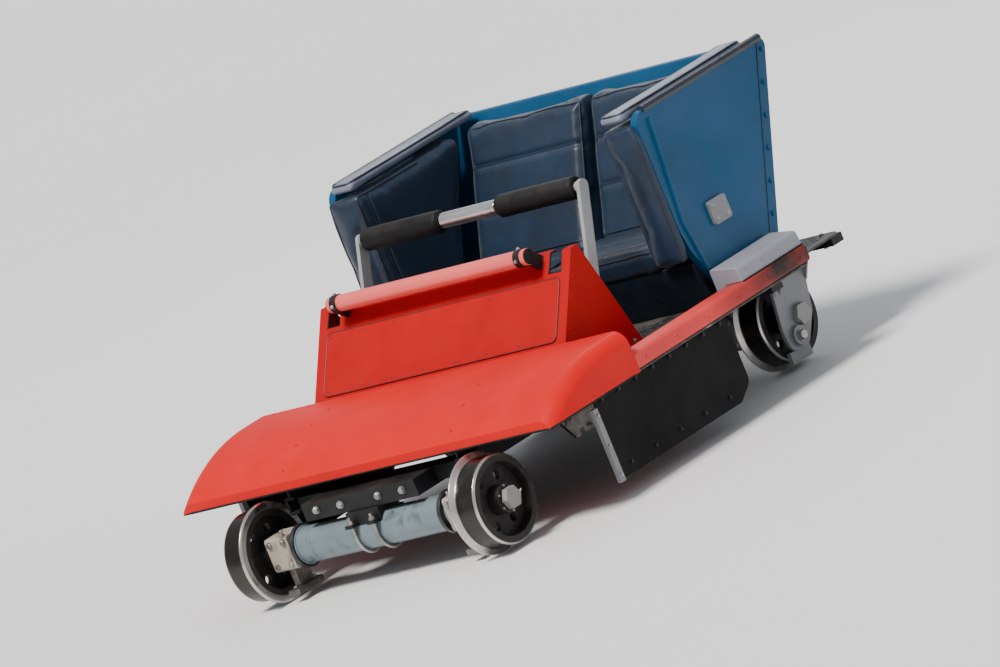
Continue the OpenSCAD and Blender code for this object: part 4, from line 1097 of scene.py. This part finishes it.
# Seat shell: bolts through the wings into the back, a sealed joint beside them, screws on the plates, rivets
shellLook = {"boltIn": 0.016, "jointIn": 0.036, "jointR": 0.0013, "bolts": 6, "ribBeside": 0.035,
             "ribs": (-0.37, 0.0, 0.37), "rivet": 0.75, "plateIn": 0.014, "panRivets": 9, "panHalf": 0.50,
             "angleT": 0.005, "angleHalf": 0.022, "angleHigh": 0.045, "rearAngleYs": (0.20, 0.48),
             "rearAngleHalf": 0.025, "rearAngle": 0.030, "rearBoltX": 0.017, "rearBolt": 0.55}
rearFace = broadFace("seat_back", (-1, 0, -0.5))
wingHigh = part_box("wing_left")[1]
heights = evenly(coverHigh.z + 0.03, wingHigh.z - 0.05, shellLook["bolts"])
spots = [(onFace(rearFace, z, wingOut, -shellLook["boltIn"]), left, 0.6) for z in heights]
fasten("wing_bolts", boltMesh, spots, "shellBlue")
heights = (coverHigh.z - 0.02, wingHigh.z - 0.022)
joint = [onFace(rearFace, z, wingOut + 0.0003, -shellLook["jointIn"]) for z in heights]
pairOf("wing_joint", sweep([joint], shellLook["jointR"]), "rubberBlack", 50)
low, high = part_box("wing_plates")
inset = shellLook["plateIn"]
spots = grid((low.x + inset, high.x - inset), high.y, (low.z + inset, high.z - inset), left, 0.8)
fasten("plate_screws", screwMesh, spots)
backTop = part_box("seat_back")[1].z
places = [(y + s * shellLook["ribBeside"], z) for z in evenly(deckTop + 0.05, backTop - 0.05, 7)
          for y in shellLook["ribs"] for s in (1, -1)]
places += [(y, z) for y in evenly(-wingIn + 0.02, wingIn - 0.02, 12)
           for z in (deckTop + 0.012, backTop - 0.020)]
spots = [(onFace(rearFace, z, y), rearFace[1], shellLook["rivet"]) for y, z in places]
fasten("back_rivets", rivetMesh, spots, "shellBlue", twice=False)
panFace = broadFace("seat_pan", (1, 0, -0.3))
places = [(y, z) for y in evenly(-shellLook["panHalf"], shellLook["panHalf"], shellLook["panRivets"])
          for z in (deckTop + 0.018, panFace[0].z + 0.03)]
spots = [(onFace(panFace, z, y), panFace[1], 0.8) for y, z in places]
fasten("pan_rivets", rivetMesh, spots, "panNavy", twice=False)
# angles that hold the wings and the back down on the deck
bm = bmesh.new()
spots = []
wide, thick, footZ = shellLook["angleHalf"], shellLook["angleT"], deckTop + hair
besideWing = wingOut + 2 * hair
for x in evenly(backFoot + 0.05, extreme("wing_left", (0.2, 0, -1)).x - 0.03, 3):
    slab(bm, (x - wide, besideWing, footZ), (x + wide, besideWing + thick, deckTop + shellLook["angleHigh"]))
    slab(bm, (x - wide, besideWing, footZ), (x + wide, sillIn - 0.006, footZ + thick))
wide = shellLook["rearAngleHalf"]
for y in shellLook["rearAngleYs"]:
    slab(bm, (backFoot - shellLook["rearAngle"], y - wide, footZ), (backFoot - 0.001, y + wide, footZ + thick))
    spots += grid(backFoot - shellLook["rearBoltX"], y, deckTop + thick, up, shellLook["rearBolt"])
pairOf("shell_angles", bm, "frameBlack")
fasten("shell_angle_bolts", boltMesh, spots)
print("seat shell dressed")


# Padded pieces: the CAD solid is drawn in a little, remeshed and blown up as cloth, and then sewn
pads = {"voxel": 0.006, "pressure": 4.0, "frames": 20, "piping": 0.0036, "stitchR": 0.0007,
        "stitchPitch": 0.0065, "stitchLength": 0.0042, "channelWidth": 0.009}


def halfOf(node):
    # the left half of a CAD solid
    bm = bmesh.new()
    bm.from_mesh(nodes[node].data)
    bmesh.ops.remove_doubles(bm, verts=bm.verts, dist=0.00005)
    bmesh.ops.delete(bm, geom=[v for v in bm.verts if v.co.y < 0], context="VERTS")
    return bm


def inflate(name, bm, look):
    # inset is how much each side is drawn in before the cover is blown up, cap how far a point may move
    points = [v.co.copy() for v in bm.verts]
    low = Vector(map(min, zip(*points)))
    high = Vector(map(max, zip(*points)))
    middle = (low + high) / 2
    shrink = Vector([(s - 2 * i) / s for s, i in zip(high - low, look["inset"])])
    moved(bm, -middle)
    scaled(bm, shrink)
    moved(bm, middle)
    cover = objectOf(name + "Cover", meshOf(name + "Cover", bm))
    remesh = cover.modifiers.new("voxels", "REMESH")
    remesh.mode = "VOXEL"
    remesh.voxel_size = pads["voxel"]
    even = evaluated(cover)
    cover.modifiers.clear()
    cover.data = even
    blown = even
    settings = cover.modifiers.new("cloth", "CLOTH").settings
    settings.quality = 5
    settings.mass = 0.3
    settings.tension_stiffness = settings.compression_stiffness = 18
    settings.shear_stiffness = 6
    settings.bending_stiffness = 0.6
    settings.use_pressure = True
    settings.uniform_pressure_force = pads["pressure"]
    settings.effector_weights.gravity = 0
    for step in range(1, pads["frames"] + 1):
        bpy.context.scene.frame_set(step)
    blown = evaluated(cover)
    bpy.context.scene.frame_set(1)
    bpy.data.objects.remove(cover)
    bm = bmesh.new()
    bm.from_mesh(even)
    for vert, end in zip(bm.verts, blown.vertices):
        move = end.co - vert.co
        if move.length > look["cap"]:
            move *= look["cap"] / move.length
        vert.co += move
    for turn in range(4):
        bmesh.ops.smooth_vert(bm, verts=bm.verts, factor=0.5, use_axis_x=True, use_axis_y=True, use_axis_z=True)
    for vert in bm.verts:
        vert.co.z = max(vert.co.z, look["flat"])
    bm.normal_update()
    return bm


def sewChannel(bm, channel):
    for vert in bm.verts:
        away = (vert.co - channel["ends"][0]).dot(channel["across"]) / channel["width"]
        strength = math.exp(-away ** 2) * max(0.0, min(1.0, vert.normal.dot(channel["toward"]) * 1.6))
        vert.co -= vert.normal * channel["depth"] * strength
    bm.normal_update()


def onCover(cover, point, lift=0.0):
    spot, normal = cover.find_nearest(Vector(point))[:2]
    return spot + normal * lift


def seam(cover, corners, closed=True, step=0.008):
    # points along straight runs between corners, dropped onto the cover and evened out
    line = []
    ends = corners[1:] + corners[:1] if closed else corners[1:]
    for first, last in zip(map(Vector, corners), map(Vector, ends)):
        count = max(1, round((last - first).length / step))
        line += [first.lerp(last, i / count) for i in range(count)]
    if not closed:
        line.append(corners[-1])
    line = [onCover(cover, p) for p in line]
    for turn in range(3):
        kept = line[:]
        for i in range(len(line)):
            if closed or 0 < i < len(line) - 1:
                line[i] = (kept[i - 1] + kept[i] * 2 + kept[(i + 1) % len(line)]) / 4
    return line


def sew(name, cover, lines):
    dash = template(name + "Shape", lambda bm: disc(bm, 1.0, -0.5, 0.5, 6))
    bm = bmesh.new()
    shape = Matrix.Diagonal((pads["stitchR"], pads["stitchR"], pads["stitchLength"], 1))
    for line in lines:
        gone = 0.0
        for first, last in zip(line, line[1:]):
            gone += (last - first).length
            if gone >= pads["stitchPitch"]:
                gone = 0.0
                stamp(bm, dash, [facing(onCover(cover, last, pads["stitchR"] * 0.4), last - first) @ shape])
    pairOf(name, bm, "thread", 60)


def finishPad(name, bm, replaced, look):
    mesh = meshOf(name, bm)
    mesh.shade_smooth()
    mesh.materials.append(finish[look.get("cover", "vinylNavy")])
    piece = objectOf(name, mesh)
    smooth = piece.modifiers.new("smooth", "SUBSURF")
    smooth.levels = smooth.render_levels = 1
    for node in replaced:
        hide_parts(node)
    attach(piece, "chassis")


def makePads(name, solid, replaced, look, channels, pipes):
    # the left pad is blown up and sewn, and the right one is its mirror image
    # replaced names the CAD nodes that the left and the right pad stand in for
    pad = inflate(name, solid, look)
    for channel in channels:
        sewChannel(pad, channel)
    cover = BVHTree.FromBMesh(pad)
    for index, (corners, closed) in enumerate(pipes):
        pipe = sweep([seam(cover, corners, closed)], pads["piping"], closed)
        pairOf(f"{name}_piping_{index}", pipe, "pipingNavy", 60)
    rows = []
    for channel in channels:
        for off in (-1, 1):
            shift = channel["across"] * off * channel["width"] * 0.95
            rows.append(seam(cover, [p + shift for p in channel["ends"]], False, 0.003))
    if rows:
        sew(name + "_stitches", cover, rows)
    finishPad(name + "_right", mirrorOf(pad), replaced[1:], look)
    finishPad(name + "_left", pad, replaced[:1], look)


def channelAlong(ends, across, toward, depth, width=pads["channelWidth"]):
    return {"ends": [Vector(end) for end in ends], "across": Vector(across).normalized(),
            "toward": Vector(toward), "depth": depth, "width": width}


def cornersOf(low, high, edge, z):
    # a pad's top, drawn in by edge
    x1, x2, y1, y2 = low[0] + edge, high[0] - edge, low[1] + edge, high[1] - edge
    return [(x2, y1, z), (x2, y2, z), (x1, y2, z), (x1, y1, z)]


outBack = broadFace("seat_back", (1, 0, 0.5))[1]
upBack = (-outBack.z, 0, outBack.x)

# Seat cushions: a front roll behind one sewn channel, another channel halfway, piping round the top
cushion = {"edge": 0.016, "channels": (0.085, 0.19), "channelIn": 0.03, "depth": 0.006,
           "inset": (0.006, 0.006, 0.005)}
low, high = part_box("seat_cushions")
near, far = innerY("seat_cushions", centreOf("seat_cushions")[0], low.z + 0.02), high.y
corners = cornersOf((low.x + 0.03, near), (high.x, far), cushion["edge"], high.z)
sideYs = (near + cushion["channelIn"], far - cushion["channelIn"])
channels = [channelAlong([(high.x - d, y, high.z) for y in sideYs], ahead, up, cushion["depth"])
            for d in cushion["channels"]]
look = {"inset": cushion["inset"], "cap": 0.011, "flat": low.z + 0.001, "fill": 0.7}
replaced = ("seat_cushions", "seat_cushions")
makePads("seat_cushion", halfOf("seat_cushions"), replaced, look, channels, [(corners, True)])
print("seat cushions made")

# Back cushions: two channels across, piping round the front
backLook = {"edge": 0.016, "low": 0.50, "high": 0.845, "channels": (0.62, 0.74)}
low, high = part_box("back_cushions")
face, edge, far = broadFace("back_cushions", (1, 0, 0.5)), backLook["edge"], high.y
places = (("low", near + edge), ("low", far - edge), ("high", far - edge), ("high", near + edge))
corners = [onFace(face, backLook[z], y) for z, y in places]
sideYs = (near + cushion["channelIn"], far - cushion["channelIn"])
channels = [channelAlong([onFace(face, z, y) for y in sideYs], upBack, outBack, cushion["depth"])
            for z in backLook["channels"]]
look = {"inset": cushion["inset"], "cap": 0.012, "flat": low.z + 0.001, "fill": 0.7}
replaced = ("back_cushions", "back_cushions")
makePads("back_cushion", halfOf("back_cushions"), replaced, look, channels, [(corners, True)])
print("back cushions made")

# Bolsters along the wings' inner faces: one channel up the front edge, piping round the inner face and the flap
bolster = {"edge": 0.020, "channel": 0.060, "depth": 0.005, "width": 0.008, "length": 0.30}
low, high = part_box("bolster_left")
front, inner, flap = high.x, low.y, (high.x - 0.012, high.y - 0.004)
pipeRear, pipeFront = front - bolster["length"], front - bolster["edge"]
inside = [(pipeRear, inner, low.z + 0.03), (pipeFront, inner + 0.004, low.z + 0.03),
          (pipeFront, inner + 0.004, high.z - 0.02), (pipeRear, inner, high.z - 0.02)]
flapLine = [(*flap, low.z + 0.02), (*flap, high.z - 0.02)]
ends = [(front - bolster["channel"], inner, z) for z in (low.z + 0.04, high.z - 0.03)]
channels = [channelAlong(ends, ahead, right, bolster["depth"], bolster["width"])]
look = {"inset": (0.006, 0.005, 0.006), "cap": 0.011, "flat": low.z + 0.001, "fill": 0.75}
pipes = [(inside, False), (flapLine, False)]
makePads("bolster_pad", halfOf("bolster_left"), ("bolster_left", "bolster_right"), look, channels, pipes)
print("bolsters made")

# Pads on top of the bolsters whose pale colour is a painted highlight, the glare on their navy vinyl, and a
# dark edging over the wings' rolled rims
topPad = {"thick": 0.027, "round": 0.009, "frontIn": 0.011, "rearIn": 0.010, "gap": 0.0006, "edge": 0.011,
          "rimR": 0.011, "edging": 0.0012}
footZ = high.z + topPad["gap"]
rear = hit("seat_back", (0, (low.y + wingIn) / 2, high.z), (-1, 0, 0)).x + topPad["rearIn"]
padLow = (rear, low.y, footZ)
padHigh = (high.x - topPad["frontIn"], wingIn - topPad["gap"], footZ + topPad["thick"])
bm = bmesh.new()
slab(bm, padLow, padHigh, topPad["round"])
corners = cornersOf(padLow, padHigh, topPad["edge"], padHigh[2])
# the pads' pale cover is painted glare on navy vinyl
look = {"inset": (0.004, 0.004, 0.003), "cap": 0.005, "flat": footZ, "fill": 0.6, "cover": "vinylPaintedGlare"}
makePads("wing_top_pad", bm, (), look, [], [(corners, True)])
rimEnds = [v.co.x for v in nodes["wing_left"].data.vertices if v.co.z > wingHigh.z - 0.001]
rimZ = wingHigh.z - topPad["rimR"]
rimY = outerY("wing_left", sum(rimEnds) / len(rimEnds), rimZ) - topPad["rimR"]
edging = [(x, rimY, rimZ) for x in (min(rimEnds) - topPad["edging"], max(rimEnds) + topPad["edging"])]
pairOf("wing_edging", sweep([edging], topPad["rimR"] + topPad["edging"]), "pipingNavy")
print("top pads made")

# Lap bar: foam sleeves, rubber collars beside the grip, welds at the arms, washers and pins at the pivots
lapLook = {"inner": 0.0154, "endRound": 0.010, "wave": 0.0010, "collarR": 0.0245, "armOut": 0.012,
           "barWeldR": 0.0155, "pivotWeldR": 0.0250, "pivotDown": 0.022, "nutSize": 1.1, "plateBolt": 0.5,
           "plateBoltIn": 0.008, "pinHalf": 0.019, "pinR": 0.0013, "pinOut": 0.0022}
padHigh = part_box("lap_bar_pads")[1]
lapX, lapZ = centreOf("lap_bar_pads")
lapR = padHigh.z - lapZ
start, end = innerY("lap_bar_pads", lapX, lapZ + 0.025), padHigh.y
bend, inner = lapLook["endRound"], lapLook["inner"]
quarter = evenly(0, math.pi / 2, 5)
rows = [(start, inner)]
rows += [(start + bend - bend * math.cos(a), lapR - bend + bend * math.sin(a)) for a in quarter]
rows += [(y, lapR) for y in evenly(start + 2 * bend, end - 2 * bend, 24)]
rows += [(end - bend + bend * math.sin(a), lapR - bend + bend * math.cos(a)) for a in quarter]
rows += [(end, inner)]
sleeve = turned(rows)
for vert in sleeve.verts:  # worn foam is a little uneven
    radius = math.hypot(vert.co.x, vert.co.z)
    if radius > inner + 0.002:
        dip = lapLook["wave"] * (noise.noise(vert.co * 26) + 0.4 * noise.noise(vert.co * 70) - 1)
        vert.co.x *= (radius + dip) / radius
        vert.co.z *= (radius + dip) / radius
moved(sleeve, (lapX, 0, lapZ))
for label, bm in (("right", mirrorOf(sleeve)), ("left", sleeve)):
    piece = asPiece("lap_pad_" + label, bm, "foamBlack", 40, "lap_bar")
    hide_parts("lap_bar_pads")

ring = tubeWall(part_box("lap_bar_grip")[1].y + hair, start - hair, inner, lapLook["collarR"])
pairOf("grip_collar", turned(ring, lapX, lapZ), "rubberBlack", body="lap_bar")
pivotX, pivotZ = centreOf("lap_pivots")[0], pivotHigh.z - lapLook["pivotDown"]
armOut = outerY("lap_bar", (lapX + pivotX) / 2, (lapZ + pivotZ) / 2)
armIn = armOut - lapLook["armOut"]
bm = bmesh.new()
weldRing(bm, (lapX, armIn - 0.0005, lapZ), lapLook["barWeldR"], beads["fine"])
for y in (armIn - 0.0005, armOut + 0.0005):
    weldRing(bm, (pivotX, y, pivotZ), lapLook["pivotWeldR"], beads["fine"])
pairOf("lap_bar_welds", bm, "barGrey", 60, "lap_bar")
earOut = outerY("lap_pivots", pivotX + 0.020, pivotZ - 0.02)
pinEnd = innerY("lap_pivots", pivotX, pivotZ)
spots = grid(pivotX, earOut, pivotZ, left, lapLook["nutSize"])
for x in (pivotLow.x + lapLook["plateBoltIn"], pivotHigh.x - lapLook["plateBoltIn"]):
    for y in (pinEnd + 0.020, earOut - 0.015):
        spots += grid(x, y, topOf("lap_pivots", x, y), up, lapLook["plateBolt"])
fasten("lap_pivot_bolts", boltMesh, spots)
far, pinY = lapLook["pinHalf"], pinEnd + lapLook["pinOut"]
bend = [(pivotX, pinY, pivotZ + far), (pivotX, pinY, pivotZ - far),
        (pivotX + 0.004, pinEnd + 0.001, pivotZ - far - 0.004)]
pairOf("lap_split_pin", sweep([bend], lapLook["pinR"]), "zinc")
print("lap bar dressed")


# Floor, lights and camera

def floor():
    bm = bmesh.new()
    bmesh.ops.create_grid(bm, x_segments=1, y_segments=1, size=200)
    moved(bm, (0, 0, cadLow.z))
    mesh = meshOf("studio_floor", bm)
    surface, place = newMaterial("studioFloor", 0.2)
    feed(surface["Base Color"], blendColor(cloud(place, 0.6, 3), (0.78, 0.78, 0.78), (0.81, 0.81, 0.81)))
    surface["Roughness"].default_value = 0.8
    mesh.materials.append(finish["studioFloor"])
    objectOf("studio_floor", mesh)


def light(name, kind, place, aim, power, size, color):
    lamp = bpy.data.lights.new(name, kind)
    lamp.energy = power
    lamp.color = color
    if kind == "SUN":
        lamp.angle = math.radians(size)
    else:
        lamp.shape = "DISK"
        lamp.size = size
    holder = objectOf(name, lamp)
    holder.location = place
    holder.rotation_mode = "QUATERNION"
    holder.rotation_quaternion = (Vector(aim) - Vector(place)).to_track_quat("-Z", "Y")


studio = {"world": 0.50, "key": 4.6, "keyAngle": 16, "fill": 30, "rim": 45}
floor()
light("key_light", "SUN", (2.3, 0.1, 4.2), (0, 0, 0.4), studio["key"], studio["keyAngle"], (1.0, 0.97, 0.93))
light("fill_light", "AREA", (0.6, 5.0, 2.4), (0, 0, 0.5), studio["fill"], 3.5, (0.93, 0.96, 1.0))
light("rim_light", "AREA", (-4.0, -2.5, 3.6), (0, 0, 0.5), studio["rim"], 2.5, (1, 1, 1))
world = bpy.data.worlds.new("studio")
world.use_nodes = True
background = world.node_tree.nodes["Background"].inputs
background["Color"].default_value = (0.92, 0.95, 1.0, 1)
background["Strength"].default_value = studio["world"]
bpy.context.scene.world = world

# The camera looks along the photograph's own direction, with its roll
view = {"right": (-0.585, 0.720, -0.3745), "up": (-0.368, 0.175, 0.913), "distance": 40.0, "lens": 533.33,
        "aim": (0.03, 0.02, 0.42)}
rightWay = Vector(view["right"]).normalized()
backWay = rightWay.cross(Vector(view["up"])).normalized()
upWay = backWay.cross(rightWay)
camera = objectOf("camera", bpy.data.cameras.new("camera"))
camera.data.lens = view["lens"]
camera.data.clip_end = 600
seen = Matrix((rightWay, upWay, backWay)).transposed().to_4x4()
camera.matrix_world = Matrix.Translation(Vector(view["aim"]) + backWay * view["distance"]) @ seen
bpy.context.scene.camera = camera
